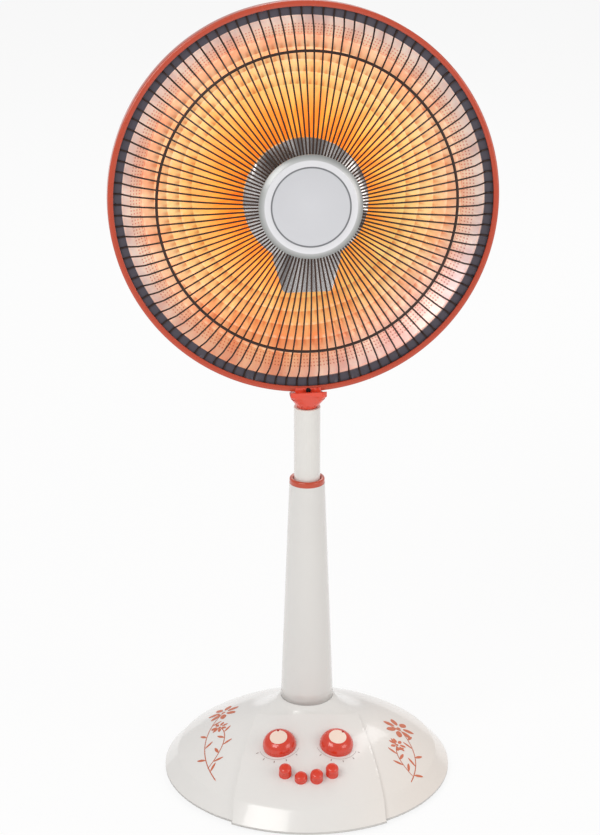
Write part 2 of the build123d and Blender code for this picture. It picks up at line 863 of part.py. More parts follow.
with BuildPart() as rim_screw:
    flap_front = hoop_front + touch_gap + shell_wall
    with BuildSketch(head_plane.offset(flap_front)):
        with Locations((0, -hoop_radius + hoop_wall / 2)):
            Circle(small_screw_head_radius)
    extrude(amount=small_screw_head_height)
    with BuildSketch(head_plane.offset(flap_front)):
        with Locations((0, -hoop_radius + hoop_wall / 2)):
            Circle(small_screw_radius)
    extrude(amount=-hoop_back / 2)
rim_screw.part.label = "rim_screw"

band_inner_radius = ring_fit - band_width
with BuildPart() as guard_band:
    with BuildSketch(head_plane):
        Circle(ring_fit)
        Circle(band_inner_radius, mode=Mode.SUBTRACT)
        with PolarLocations(head_screw_circle, head_screw_count):
            Circle(small_screw_radius + screw_clear, mode=Mode.SUBTRACT)
    extrude(amount=-band_thickness)
guard_band.part.label = "guard_band"

# Wire guard: a dome turned as a thin shell, with a slot between each two wires
with BuildPart() as guard_wires:
    with BuildSketch(head_section):
        with BuildLine():
            Polyline(
                (guard_hub_bore, guard_hub_forward),
                (guard_hub_radius - hub_edge_height, guard_hub_forward),
                (guard_waist_radius, guard_waist_forward),
                (guard_ring_radius, guard_ring_forward),
                (guard_outer_radius, guard_outer_forward),
                (band_inner_radius, 0),
                (ring_fit, 0),
            )
            offset(amount=wire_thickness, side=Side.LEFT)
        make_face()
    revolve(axis=head_axis)
    half_turn = math.pi / wire_count
    slot_ends = [
        (guard_hub_radius - hub_edge_height / 2, guard_ring_radius - guard_ring_width / 2),
        (guard_ring_radius + guard_ring_width / 2, ring_fit + overcut),
    ]
    with BuildSketch(head_plane.offset(-overcut)):
        with PolarLocations(0, wire_count, start_angle=math.degrees(half_turn)):
            for near, far in slot_ends:
                near_half, far_half = [
                    r * math.tan(half_turn) - wire_width / 2 / math.cos(half_turn)
                    for r in (near, far)
                ]
                Polygon(
                    (near, -near_half),
                    (far, -far_half),
                    (far, far_half),
                    (near, near_half),
                    align=None,
                )
    extrude(amount=guard_hub_forward + 2 * wire_thickness, mode=Mode.SUBTRACT)
guard_wires.part.label = "guard_wires"

hub_seat = guard_hub_forward + wire_thickness
with BuildPart() as guard_hub:
    with BuildSketch(head_section):
        with BuildLine():
            Polyline(
                (0, hub_seat),
                (guard_hub_radius, hub_seat),
                (guard_hub_radius, hub_seat + hub_edge_height),
                (hub_flat_radius, hub_seat + hub_thickness),
                (hub_groove_radius + hub_groove_width / 2, hub_seat + hub_thickness),
                (hub_groove_radius, hub_seat + hub_thickness - hub_groove_depth),
                (hub_groove_radius - hub_groove_width / 2, hub_seat + hub_thickness),
                (0, hub_seat + hub_thickness + hub_groove_depth),
                close=True,
            )
        make_face()
    revolve(axis=head_axis)
    with BuildSketch(head_plane.offset(hub_seat)):
        Circle(hub_boss_radius)
        Circle(small_screw_radius + screw_clear, mode=Mode.SUBTRACT)
    extrude(amount=-wire_thickness)
guard_hub.part.label = "guard_hub"

with BuildPart() as guard_hub_back:
    with BuildSketch(head_plane.offset(guard_hub_forward)):
        Circle(hub_back_radius)
        Circle(small_screw_radius + screw_clear, mode=Mode.SUBTRACT)
    extrude(amount=-hub_back_thickness)
    back_rings = guard_hub_back.edges().filter_by(GeomType.CIRCLE)
    fillet(
        back_rings.sort_by(Axis(rim_centre, head_forward))[0],
        radius=hub_back_thickness / 2,
    )
guard_hub_back.part.label = "guard_hub_back"

with BuildPart() as guard_hub_screw:
    with BuildSketch(head_plane.offset(guard_hub_forward - hub_back_thickness)):
        Circle(small_screw_head_radius)
    extrude(amount=-small_screw_head_height)
    with BuildSketch(head_plane.offset(guard_hub_forward - hub_back_thickness)):
        Circle(small_screw_radius)
    extrude(amount=hub_back_thickness + wire_thickness)
guard_hub_screw.part.label = "guard_hub_screw"

# Reflector: a smooth bowl, rows of flat facets, a smooth lip and a flange
row_radii = [facet_inner_radius + facet_row_pitch * i for i in range(facet_row_count + 1)]
flange_front = -band_thickness
flange_back = flange_front - sheet_thickness
with BuildPart() as reflector:
    with BuildSketch(head_section):
        with BuildLine():
            Polyline(
                (0, flange_front),
                (ring_fit, flange_front),
                (ring_fit, flange_back),
                (dish_radius + sheet_thickness, flange_back),
                (row_radii[-1] + sheet_thickness, dish_forward(row_radii[-1]) - sheet_thickness),
            )
            ThreePointArc(
                (row_radii[-1] + sheet_thickness, dish_forward(row_radii[-1]) - sheet_thickness),
                (
                    dish_radius / 2 + sheet_thickness,
                    dish_forward(dish_radius / 2) - sheet_thickness - facet_ridge,
                ),
                (dish_flat_radius, -dish_depth - sheet_thickness),
            )
            Polyline(
                (dish_flat_radius, -dish_depth - sheet_thickness),
                (0, -dish_depth - sheet_thickness),
                (0, flange_front),
            )
        make_face()
    revolve(axis=head_axis)
    # Rows of flat facets
    for row_radius in row_radii:
        with BuildSketch(head_plane.offset(dish_forward(row_radius))):
            RegularPolygon(row_radius, facet_count)
    loft(ruled=True, mode=Mode.SUBTRACT)
    # Smooth inner bowl, up to a narrow ledge inside the facets
    bowl_edge = facet_inner_radius * math.cos(math.pi / facet_count) - facet_ledge
    with BuildSketch(head_section):
        with BuildLine():
            Polyline(
                (dish_flat_radius, -dish_depth),
                (0, -dish_depth),
                (0, flange_front),
                (bowl_edge, flange_front),
                (bowl_edge, dish_forward(facet_inner_radius)),
            )
            ThreePointArc(
                (bowl_edge, dish_forward(facet_inner_radius)),
                (bowl_edge * 2 / 3, dish_forward(bowl_edge * 2 / 3)),
                (dish_flat_radius, -dish_depth),
            )
        make_face()
    revolve(axis=head_axis, mode=Mode.SUBTRACT)
    # Smooth lip outside the facets
    lip_foot = row_radii[-1] + facet_ledge
    with BuildSketch(head_section):
        with BuildLine():
            Polyline(
                (0, dish_forward(row_radii[-1])),
                (lip_foot, dish_forward(row_radii[-1])),
                (dish_radius - dish_lip_width, dish_forward(dish_radius - dish_lip_width)),
                (dish_radius, flange_front),
                (0, flange_front),
                close=True,
            )
        make_face()
    revolve(axis=head_axis, mode=Mode.SUBTRACT)
    with BuildSketch(head_plane):
        with PolarLocations(head_screw_circle, head_screw_count):
            Circle(small_screw_radius + screw_clear)
    extrude(amount=2 * flange_back, mode=Mode.SUBTRACT)
reflector.part.label = "reflector"


# Shield in front of the lamp: a shallow pan, round above and tapered below
def shield_outline(inset):
    """Outline of the shield on the head's plane, moved in by inset."""
    tail_y = -shield_tail_drop
    with BuildSketch() as outline:
        Circle(shield_radius)
        Polygon(
            (-shield_shoulder_half, -shield_shoulder_drop),
            (-shield_tail_half, tail_y),
            (shield_tail_half, tail_y),
            (shield_shoulder_half, -shield_shoulder_drop),
            (shield_shoulder_half, -shield_radius / 2),
            (-shield_shoulder_half, -shield_radius / 2),
            align=None,
        )
        low = outline.vertices().group_by(Axis.Y)[0]
        fillet(low, radius=shield_corner)
        if inset:
            offset(amount=-inset)
    return outline.sketch


with BuildPart() as centre_shield:
    with BuildSketch(head_plane.offset(shield_front - shield_depth)):
        add(shield_outline(0))
    extrude(amount=shield_depth)
    with BuildSketch(head_plane.offset(shield_front - shield_depth)):
        add(shield_outline(sheet_thickness))
    extrude(amount=shield_depth - sheet_thickness, mode=Mode.SUBTRACT)
centre_shield.part.label = "centre_shield"

stay_top = shield_front - sheet_thickness
with BuildPart() as shield_stays:
    with BuildSketch(head_plane.offset(-dish_depth + touch_gap)):
        with PolarLocations(stay_circle - stay_foot_radius, stay_count, start_angle=90):
            Circle(stay_radius)
    extrude(amount=dish_depth + stay_top - touch_gap)
    for low in (-dish_depth + touch_gap, stay_top - stay_foot_height):
        with BuildSketch(head_plane.offset(low)):
            with PolarLocations(stay_circle - stay_foot_radius, stay_count, start_angle=90):
                Circle(stay_foot_radius)
        extrude(amount=stay_foot_height)
shield_stays.part.label = "shield_stays"

# Lamp: a ring of quartz tube with two legs that go down to the ceramic caps
bend_x = lamp_leg_half + lamp_bend_radius
bend_reach = lamp_ring_radius + lamp_bend_radius
bend_y = -math.sqrt(bend_reach ** 2 - bend_x ** 2)
bend_angle = math.atan2(-bend_y, bend_x)
join_x = bend_x * lamp_ring_radius / bend_reach
join_y = bend_y * lamp_ring_radius / bend_reach
bend_mid_x = bend_x - lamp_bend_radius * math.cos(bend_angle / 2)
bend_mid_y = bend_y + lamp_bend_radius * math.sin(bend_angle / 2)
lamp_level = head_plane.offset(lamp_plane)


def lamp_line():
    """Centre line of the lamp on its level."""
    with BuildLine(lamp_level) as line:
        Line((-lamp_leg_half, -lamp_leg_end), (-lamp_leg_half, bend_y))
        ThreePointArc(
            (-lamp_leg_half, bend_y), (-bend_mid_x, bend_mid_y), (-join_x, join_y)
        )
        ThreePointArc((-join_x, join_y), (0, lamp_ring_radius), (join_x, join_y))
        ThreePointArc(
            (join_x, join_y), (bend_mid_x, bend_mid_y), (lamp_leg_half, bend_y)
        )
        Line((lamp_leg_half, bend_y), (lamp_leg_half, -lamp_leg_end))
    return line.line


leg_foot = lamp_level.from_local_coords(Vector(-lamp_leg_half, -lamp_leg_end, 0))
leg_plane = Plane(origin=leg_foot, x_dir=head_right, z_dir=head_up)

with BuildPart() as lamp_tube:
    with BuildSketch(leg_plane):
        Circle(lamp_tube_radius)
        Circle(lamp_tube_radius - lamp_tube_wall, mode=Mode.SUBTRACT)
    sweep(path=lamp_line())
lamp_tube.part.label = "lamp_tube"

with BuildPart() as lamp_filament:
    with BuildSketch(leg_plane):
        Circle(filament_radius)
    sweep(path=lamp_line())
lamp_filament.part.label = "lamp_filament"

with BuildPart() as lamp_caps:
    for side in (0, 2 * lamp_leg_half):
        cap_plane = Plane(
            origin=leg_foot + head_right * side, x_dir=head_right, z_dir=head_up
        )
        with BuildSketch(cap_plane.offset(cap_socket_depth)):
            Circle(cap_radius)
        extrude(amount=-cap_length)
        with BuildSketch(cap_plane):
            Circle(lamp_tube_radius + touch_gap)
        extrude(amount=cap_socket_depth, mode=Mode.SUBTRACT)
lamp_caps.part.label = "lamp_caps"

holder_foot = dish_forward(math.hypot(holder_half_width, holder_far)) + touch_gap
with BuildPart() as lamp_holder:
    with BuildSketch(head_plane.offset(holder_foot)):
        with Locations((0, -(holder_near + holder_far) / 2)):
            Rectangle(2 * holder_half_width, holder_far - holder_near)
    extrude(amount=holder_top - holder_foot)
    for side in (0, 2 * lamp_leg_half):
        cap_plane = Plane(
            origin=leg_foot + head_right * side, x_dir=head_right, z_dir=head_up
        )
        with BuildSketch(cap_plane.offset(cap_length)):
            Circle(cap_radius + touch_gap)
        extrude(amount=-2 * cap_length, mode=Mode.SUBTRACT)
lamp_holder.part.label = "lamp_holder"

with BuildPart() as lamp_clips:
    clip_radius = lamp_tube_radius + 3 * touch_gap + clip_wall
    for side in (-1, 1):
        spot = lamp_level.from_local_coords(Vector(side * lamp_ring_radius, 0, 0))
        clip_plane = Plane(origin=spot, x_dir=head_right, z_dir=head_up)
        post_foot = dish_forward(lamp_ring_radius) + loose_gap
        with BuildSketch(head_plane.offset(post_foot)):
            with Locations((side * lamp_ring_radius, 0)):
                Circle(clip_post_radius)
        extrude(amount=lamp_plane - post_foot)
        with BuildSketch(clip_plane.offset(-clip_width / 2)):
            Circle(clip_radius)
        extrude(amount=clip_width)
        with BuildSketch(clip_plane.offset(-clip_width)):
            Circle(clip_radius - clip_wall)
        extrude(amount=2 * clip_width, mode=Mode.SUBTRACT)
lamp_clips.part.label = "lamp_clips"

# Rear shell of the dish, with vents and a terminal cover
shell_front = flange_back
shell_flange_back = shell_front - shell_flange_thickness
shell_rim_radius = head_screw_circle - small_screw_head_radius - loose_gap
shell_pocket = -shell_back_depth + shell_wall
with BuildPart() as rear_shell:
    with BuildSketch(head_section):
        with BuildLine():
            bowl = ThreePointArc(
                (shell_rim_radius, shell_flange_back),
                (shell_shoulder_radius, -shell_shoulder_depth),
                (shell_back_radius, -shell_back_depth),
            )
            Polyline(
                bowl @ 1,
                (0, -shell_back_depth),
                (0, shell_pocket),
                (shell_back_radius, shell_pocket),
            )
            ThreePointArc(
                (shell_back_radius, shell_pocket),
                (shell_shoulder_radius - shell_wall, -shell_shoulder_depth + shell_wall),
                (shell_rim_radius - shell_wall, shell_front),
            )
            Polyline(
                (shell_rim_radius - shell_wall, shell_front),
                (ring_fit, shell_front),
                (ring_fit, shell_flange_back),
                bowl @ 0,
            )
        make_face()
    revolve(axis=head_axis)
    with BuildSketch(head_plane):
        with PolarLocations(head_screw_circle, head_screw_count):
            Circle(small_screw_radius + screw_clear)
        vent_middle = (vent_inner_radius + vent_outer_radius) / 2
        with PolarLocations(vent_middle, vent_count):
            SlotOverall(vent_outer_radius - vent_inner_radius, vent_width)
        with PolarLocations(rear_cap_screw_circle, rear_cap_screw_count, start_angle=90):
            Circle(small_screw_radius + screw_clear)
        Circle(hub_boss_radius)
    extrude(amount=-2 * shell_back_depth, mode=Mode.SUBTRACT)
rear_shell.part.label = "rear_shell"

with BuildPart() as rear_cap:
    with BuildSketch(head_plane.offset(-shell_back_depth)):
        Circle(rear_cap_radius)
    extrude(amount=-rear_cap_height)
    fillet(
        rear_cap.edges().sort_by(Axis(rim_centre, head_forward))[0],
        radius=rear_cap_round,
    )
    with BuildSketch(head_plane.offset(-shell_back_depth)):
        Circle(rear_cap_radius - rear_cap_wall)
        with PolarLocations(rear_cap_screw_circle, rear_cap_screw_count, start_angle=90):
            Circle(small_screw_head_radius + rear_cap_wall, mode=Mode.SUBTRACT)
    extrude(amount=-(rear_cap_height - rear_cap_wall), mode=Mode.SUBTRACT)
    with BuildSketch(head_plane.offset(-shell_back_depth)):
        with PolarLocations(rear_cap_screw_circle, rear_cap_screw_count, start_angle=90):
            Circle(small_screw_radius + screw_clear)
    extrude(amount=-rear_cap_height, mode=Mode.SUBTRACT)
rear_cap.part.label = "rear_cap"

with BuildPart() as rear_cap_screws:
    with BuildSketch(head_plane.offset(-shell_back_depth - rear_cap_height)):
        with PolarLocations(rear_cap_screw_circle, rear_cap_screw_count, start_angle=90):
            Circle(small_screw_head_radius)
    extrude(amount=-small_screw_head_height)
    with BuildSketch(head_plane.offset(-shell_back_depth - rear_cap_height)):
        with PolarLocations(rear_cap_screw_circle, rear_cap_screw_count, start_angle=90):
            Circle(small_screw_radius)
    extrude(amount=rear_cap_height + shell_wall)
rear_cap_screws.part.label = "rear_cap_screws"

with BuildPart() as head_screws:
    with BuildSketch(head_plane.offset(shell_flange_back)):
        with PolarLocations(head_screw_circle, head_screw_count):
            Circle(small_screw_head_radius)
    extrude(amount=-small_screw_head_height)
    with BuildSketch(head_plane.offset(shell_flange_back)):
        with PolarLocations(head_screw_circle, head_screw_count):
            Circle(small_screw_radius)
    extrude(amount=-shell_flange_back - touch_gap)
head_screws.part.label = "head_screws"

with BuildPart() as heat_baffle:
    with BuildSketch(head_plane.offset(shell_pocket + baffle_leg_length)):
        Circle(baffle_radius)
        Circle(hub_boss_radius, mode=Mode.SUBTRACT)
    extrude(amount=baffle_thickness)
    with BuildSketch(head_plane.offset(shell_pocket + touch_gap)):
        with PolarLocations(baffle_leg_circle, stay_count, start_angle=30):
            Rectangle(baffle_leg_size, baffle_leg_size)
    extrude(amount=baffle_leg_length)
heat_baffle.part.label = "heat_baffle"

with BuildPart() as thermal_cutout:
    with BuildSketch(head_plane.offset(-dish_depth - sheet_thickness)):
        Circle(cutout_radius)
    extrude(amount=-cutout_height)
    with BuildSketch(head_plane.offset(-dish_depth - sheet_thickness)):
        Rectangle(3 * cutout_radius, cutout_radius)
    extrude(amount=-sheet_thickness)
thermal_cutout.part.label = "thermal_cutout"

# Controls in the base


def control_unit(plane, body_sketch, depth):
    """A switch body on its mounting plate, with a bushing for the knob's shaft."""
    with BuildPart() as unit:
        with BuildSketch(plane.offset(-control_plate_depth)):
            RectangleRounded(
                2 * control_plate_half_width,
                2 * control_plate_half_length,
                control_post_radius,
            )
            with Locations(*control_screw_spots):
                Circle(small_screw_radius + screw_clear, mode=Mode.SUBTRACT)
        extrude(amount=-control_plate_thickness)
        with BuildSketch(plane.offset(-control_plate_depth)):
            Circle(control_bushing_radius)
        extrude(amount=control_bushing_height)
        with BuildSketch(plane.offset(-control_plate_depth - control_plate_thickness)):
            add(body_sketch)
        extrude(amount=-depth)
        bore_top = control_bushing_height - control_plate_depth
        with BuildSketch(plane.offset(bore_top)):
            Circle(knob_shaft_radius + running_gap)
        extrude(amount=-(control_bushing_height + control_bore_depth), mode=Mode.SUBTRACT)
    return unit.part


with BuildSketch() as timer_body_sketch:
    RectangleRounded(2 * timer_body_half, 2 * timer_body_half - control_post_radius, 2 * cover_wall)
with BuildSketch() as thermostat_body_sketch:
    Circle(thermostat_body_radius)

timer_unit = control_unit(timer_plane, timer_body_sketch.sketch, timer_body_depth)
timer_unit.label = "timer_unit"
thermostat_unit = control_unit(
    thermostat_plane, thermostat_body_sketch.sketch, thermostat_body_depth
)
thermostat_unit.label = "thermostat_unit"

with BuildPart() as control_screws:
    for plane in (timer_plane, thermostat_plane):
        seat = -control_plate_depth - control_plate_thickness
        with BuildSketch(plane.offset(seat)):
            with Locations(*control_screw_spots):
                Circle(small_screw_head_radius)
        extrude(amount=-small_screw_head_height)
        with BuildSketch(plane.offset(seat)):
            with Locations(*control_screw_spots):
                Circle(small_screw_radius)
        extrude(amount=control_plate_thickness + control_plate_depth / 3)
    switch_seat = -switch_top - switch_ear_thickness
    with BuildSketch(key_plane.offset(switch_seat)):
        with Locations((-switch_screw_x, 0), (switch_screw_x, 0)):
            Circle(small_screw_head_radius)
    extrude(amount=-small_screw_head_height)
    with BuildSketch(key_plane.offset(switch_seat)):
        with Locations((-switch_screw_x, 0), (switch_screw_x, 0)):
            Circle(small_screw_radius)
    extrude(amount=switch_ear_thickness + control_plate_depth / 3 - touch_gap)
control_screws.part.label = "control_screws"

with BuildPart() as key_switch:
    with BuildSketch(key_plane.offset(-switch_top)):
        Rectangle(2 * switch_ear_half, 2 * control_post_radius)
        with Locations((-switch_screw_x, 0), (switch_screw_x, 0)):
            Circle(small_screw_radius + screw_clear, mode=Mode.SUBTRACT)
    extrude(amount=-switch_ear_thickness)
    with BuildSketch(key_plane.offset(-switch_top)):
        Rectangle(2 * switch_half_width, 2 * switch_half_length)
    extrude(amount=-switch_depth)
    with BuildSketch(key_plane.offset(-switch_top)):
        with Locations(*key_spots):
            Circle(key_stem_radius + running_gap)
    extrude(amount=-(key_stem_end + key_travel - switch_top + loose_gap), mode=Mode.SUBTRACT)
key_switch.part.label = "key_switch"


def knob_part(plane, notch_angle):
    """A domed control knob with a recess and a pointer notch for its cap."""
    low = knob_seat_gap / 4 - knob_seat_depth
    section = Plane(origin=plane.origin, x_dir=plane.x_dir, z_dir=plane.y_dir * -1)
    with BuildPart() as knob:
        with BuildSketch(section):
            with BuildLine():
                side = ThreePointArc(
                    (knob_radius, low),
                    (
                        (knob_radius + knob_cap_radius) / 2 + knob_side_bulge,
                        knob_height / 2 + knob_side_bulge / 2,
                    ),
                    (knob_cap_radius + loose_gap, knob_height),
                )
                Polyline(side @ 1, (0, knob_height), (0, low), (knob_radius, low))
            make_face()
        revolve(axis=Axis(plane.origin, plane.z_dir))
        with BuildSketch(plane.offset(knob_height - knob_cap_thickness)):
            Circle(knob_cap_radius + touch_gap)
        extrude(amount=knob_height, mode=Mode.SUBTRACT)
        with BuildSketch(plane.offset(low)):
            Circle(knob_shaft_radius + touch_gap)
        extrude(amount=knob_shaft_up - low, mode=Mode.SUBTRACT)
        with BuildSketch(plane.offset(knob_height - 2 * knob_cap_thickness)):
            with PolarLocations(knob_cap_radius, 1, start_angle=90 + notch_angle):
                Circle(knob_notch_radius)
        extrude(amount=knob_height, mode=Mode.SUBTRACT)
    return knob.part


def knob_cap_part(plane, notch_angle):
    """The pale disc in the knob's top, notched at its pointer."""
    with BuildPart() as cap:
        with BuildSketch(plane.offset(knob_height - knob_cap_thickness)):
            Circle(knob_cap_radius)
            with PolarLocations(knob_cap_radius, 1, start_angle=90 + notch_angle):
                Circle(knob_notch_radius, mode=Mode.SUBTRACT)
        extrude(amount=knob_cap_thickness)
    return cap.part


def knob_shaft_part(plane):
    """The shaft from the switch body up into the knob."""
    foot = -control_plate_depth - control_bore_depth + loose_gap
    with BuildPart() as shaft:
        with BuildSketch(plane.offset(foot)):
            Circle(knob_shaft_radius)
        extrude(amount=knob_shaft_up - touch_gap - foot)
    return shaft.part


timer_knob = knob_part(timer_plane, 0.0)
timer_knob.label = "timer_knob"
timer_knob_cap = knob_cap_part(timer_plane, 0.0)
timer_knob_cap.label = "timer_knob_cap"
timer_shaft = knob_shaft_part(timer_plane)
timer_shaft.label = "timer_shaft"
thermostat_knob = knob_part(thermostat_plane, knob_notch_angle_right)
thermostat_knob.label = "thermostat_knob"
thermostat_knob_cap = knob_cap_part(thermostat_plane, knob_notch_angle_right)
thermostat_knob_cap.label = "thermostat_knob_cap"
thermostat_shaft = knob_shaft_part(thermostat_plane)
thermostat_shaft.label = "thermostat_shaft"


def key_part(spot, pressed):
    """A round key with a domed top, a retaining skirt and a stem."""
    plane = key_plane.offset(-pressed)
    axis_point = plane.from_local_coords(Vector(spot[0], spot[1], 0))
    with BuildPart() as key:
        with BuildSketch(plane.offset(-key_skirt_top - key_skirt_height)):
            with Locations(spot):
                Circle(key_radius)
        extrude(amount=key_rise + key_skirt_top + key_skirt_height)
        fillet(key.edges().sort_by(Axis(axis_point, plane.z_dir))[-1], radius=key_top_round)
        with BuildSketch(plane.offset(-key_skirt_top)):
            with Locations(spot):
                Circle(key_skirt_radius)
        extrude(amount=-key_skirt_height)
        with BuildSketch(plane.offset(-key_skirt_top - key_skirt_height)):
            with Locations(spot):
                Circle(key_stem_radius)
        extrude(amount=key_skirt_top + key_skirt_height - key_stem_end)
    return key.part


# The second key from the left is latched down
key_presses = [0.0, key_travel, 0.0, 0.0]
key_parts = [key_part(spot, press) for spot, press in zip(key_spots, key_presses)]

with BuildPart() as tip_switch:
    with BuildSketch(Plane.XY.offset(plate_top)):
        with Locations((0, tip_y)):
            Rectangle(tip_box[0], tip_box[1])
    extrude(amount=tip_box[2])
    with BuildSketch(Plane.XY.offset(plate_top)):
        with Locations((0, tip_y)):
            Circle(plunger_radius + running_gap)
    extrude(amount=plunger_length, mode=Mode.SUBTRACT)
tip_switch.part.label = "tip_switch"

with BuildPart() as tip_plunger:
    with BuildSketch(Plane.XY.offset(plunger_clear_floor)):
        with Locations((0, tip_y)):
            Circle(plunger_tip_radius)
    extrude(amount=plunger_tip_height)
    fillet(tip_plunger.edges().sort_by(Axis.Z)[0], radius=plunger_tip_height / 2)
    with BuildSketch(Plane.XY.offset(plunger_clear_floor + plunger_tip_height)):
        with Locations((0, tip_y)):
            Circle(plunger_radius)
    extrude(amount=plunger_length)
tip_plunger.part.label = "tip_plunger"

with BuildPart() as terminal_block:
    block_foot = plate_top + ballast_thickness
    with BuildSketch(Plane.XY.offset(block_foot)):
        with Locations(terminal_pos):
            Rectangle(terminal_box[0], terminal_box[1])
    extrude(amount=terminal_box[2])
    with BuildSketch(Plane.XY.offset(block_foot + terminal_box[2])):
        with Locations(terminal_pos):
            with GridLocations(terminal_slot_pitch, terminal_box[1] / 2, 4, 2):
                Circle(small_screw_head_radius)
    extrude(amount=-terminal_box[2] / 3, mode=Mode.SUBTRACT)
terminal_block.part.label = "terminal_block"

with BuildPart() as cord_gland:
    gland_face = Plane(origin=(0, boss_face_y, gland_height), z_dir=(0, 1, 0))
    with BuildSketch(gland_face):
        Circle(gland_flange_radius)
    extrude(amount=gland_flange_thickness)
    with BuildSketch(gland_face):
        Circle(gland_radius)
    extrude(amount=-(gland_length - gland_flange_thickness))
    with BuildSketch(gland_face.offset(gland_flange_thickness)):
        Circle(gland_bore)
    extrude(amount=-gland_length, mode=Mode.SUBTRACT)
cord_gland.part.label = "cord_gland"

pieces = {
    "base_cover": base_cover.part,
    "base_bottom": base_bottom.part,
    "rubber_feet": rubber_feet.part,
    "base_screws": base_screws.part,
    "ballast": ballast.part,
    "column_flange": column_flange.part,
    "floor_screws": floor_screws.part,
    "guide_tube": guide_tube.part,
    "column_sleeve": column_sleeve.part,
    "guide_bush": guide_bush.part,
    "collar_ring": collar_ring.part,
    "pole_tube": pole_tube.part,
    "pole_foot_bush": pole_foot_bush.part,
    "friction_ring": friction_ring.part,
    "neck_liner": neck_liner.part,
    "swivel_neck": swivel_neck.part,
    "stem_washer": stem_washer.part,
    "stem_bolt": stem_bolt.part,
    "tilt_pin": tilt_pin.part,
    "friction_washers": friction_washers.part,
    "tilt_bracket": tilt_bracket.part,
    "rim_hoop": rim_hoop.part,
    "rim_screw": rim_screw.part,
    "guard_band": guard_band.part,
    "guard_wires": guard_wires.part,
    "guard_hub": guard_hub.part,
    "guard_hub_back": guard_hub_back.part,
    "guard_hub_screw": guard_hub_screw.part,
    "reflector": reflector.part,
    "centre_shield": centre_shield.part,
    "shield_stays": shield_stays.part,
    "lamp_tube": lamp_tube.part,
    "lamp_filament": lamp_filament.part,
    "lamp_caps": lamp_caps.part,
    "lamp_holder": lamp_holder.part,
    "lamp_clips": lamp_clips.part,
    "rear_shell": rear_shell.part,
    "rear_cap": rear_cap.part,
    "rear_cap_screws": rear_cap_screws.part,
    "head_screws": head_screws.part,
    "heat_baffle": heat_baffle.part,
    "thermal_cutout": thermal_cutout.part,
    "timer_unit": timer_unit,
    "thermostat_unit": thermostat_unit,
    "control_screws": control_screws.part,
    "key_switch": key_switch.part,
    "timer_knob": timer_knob,
    "timer_knob_cap": timer_knob_cap,
    "timer_shaft": timer_shaft,
    "thermostat_knob": thermostat_knob,
    "thermostat_knob_cap": thermostat_knob_cap,
    "thermostat_shaft": thermostat_shaft,
    "tip_switch": tip_switch.part,
    "tip_plunger": tip_plunger.part,
    "terminal_block": terminal_block.part,
    "cord_gland": cord_gland.part,
}
for name, piece in pieces.items():
    piece.label = name
    export_step(piece, f"parts/{name}.step")
for number, piece in enumerate(key_parts, start=1):
    piece.label = f"key_{number}"
    export_step(piece, f"parts/key_{number}.step")
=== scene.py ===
"""A pedestal radiant heater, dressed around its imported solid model."""
import json
import logging
import math
from contextlib import contextmanager
from dataclasses import dataclass, field
from enum import Enum
from typing import Callable, Iterable, Iterator, Sequence

import bpy
from mathutils import Euler, Matrix, Vector


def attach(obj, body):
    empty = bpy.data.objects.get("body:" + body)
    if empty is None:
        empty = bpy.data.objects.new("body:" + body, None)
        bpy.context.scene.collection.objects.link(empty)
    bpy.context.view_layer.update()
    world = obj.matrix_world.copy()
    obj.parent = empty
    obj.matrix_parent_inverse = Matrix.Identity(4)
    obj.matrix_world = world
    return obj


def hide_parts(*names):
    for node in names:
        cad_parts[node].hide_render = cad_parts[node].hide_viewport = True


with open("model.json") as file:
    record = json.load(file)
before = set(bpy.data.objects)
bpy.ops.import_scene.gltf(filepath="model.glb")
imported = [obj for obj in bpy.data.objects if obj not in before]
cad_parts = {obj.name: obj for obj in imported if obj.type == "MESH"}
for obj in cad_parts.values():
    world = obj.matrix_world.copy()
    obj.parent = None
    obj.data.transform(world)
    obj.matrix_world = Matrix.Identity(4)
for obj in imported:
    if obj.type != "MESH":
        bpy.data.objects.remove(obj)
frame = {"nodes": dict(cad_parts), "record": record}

LOG = logging.getLogger("heater")
MM = 0.001
CLOUD_SCALE = 9.0
RUB_SCALE = 60.0
GRAIN_DEPTH = 0.0004
COAT_ROUGHNESS = 0.06
SPUN_GAP = 0.01
QUARTZ_INDEX = 1.46
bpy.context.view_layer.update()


class Body(Enum):
    """The moving bodies that the pieces ride on."""

    BASE = "base"
    POLE = "pole"
    NECK = "neck"
    HEAD = "head"
    TIMER = "timer_dial"
    THERMOSTAT = "thermostat_dial"
    KEY_1 = "heat_key_1"
    KEY_2 = "heat_key_2"
    KEY_3 = "heat_key_3"
    KEY_4 = "heat_key_4"


def tone(code: str) -> tuple[float, float, float, float]:
    """Turn a six-letter display colour into a linear one.

    Args:
        code: The colour as red, green and blue in hexadecimal.

    Returns:
        The linear colour with full alpha.
    """
    parts = [int(code[i:i + 2], 16) / 255 for i in (0, 2, 4)]
    lin = [p / 12.92 if p <= 0.04045 else ((p + 0.055) / 1.055) ** 2.4 for p in parts]
    return (lin[0], lin[1], lin[2], 1.0)


@dataclass(frozen=True)
class HeadPose:
    """Where the head's rim stands and which way it looks."""

    yaw: float = 5.5
    tilt: float = 8.5
    hinge_height: float = 433.0
    rim_up: float = 213.0
    rim_forward: float = 6.0

    def matrix(self) -> Matrix:
        """Return the turn and place from the head's own millimetres to metres."""
        yaw, tilt = math.radians(self.yaw), math.radians(self.tilt)
        right = Vector((math.cos(yaw), math.sin(yaw), 0))
        forward = Vector(
            (math.sin(yaw) * math.cos(tilt), -math.cos(yaw) * math.cos(tilt), math.sin(tilt))
        )
        up = forward.cross(right)
        rim = Vector((0, 0, self.hinge_height)) + up * self.rim_up + forward * self.rim_forward
        turn = Matrix((right, up, forward)).transposed().to_4x4()
        return Matrix.Translation(rim * MM) @ turn @ Matrix.Scale(MM, 4)


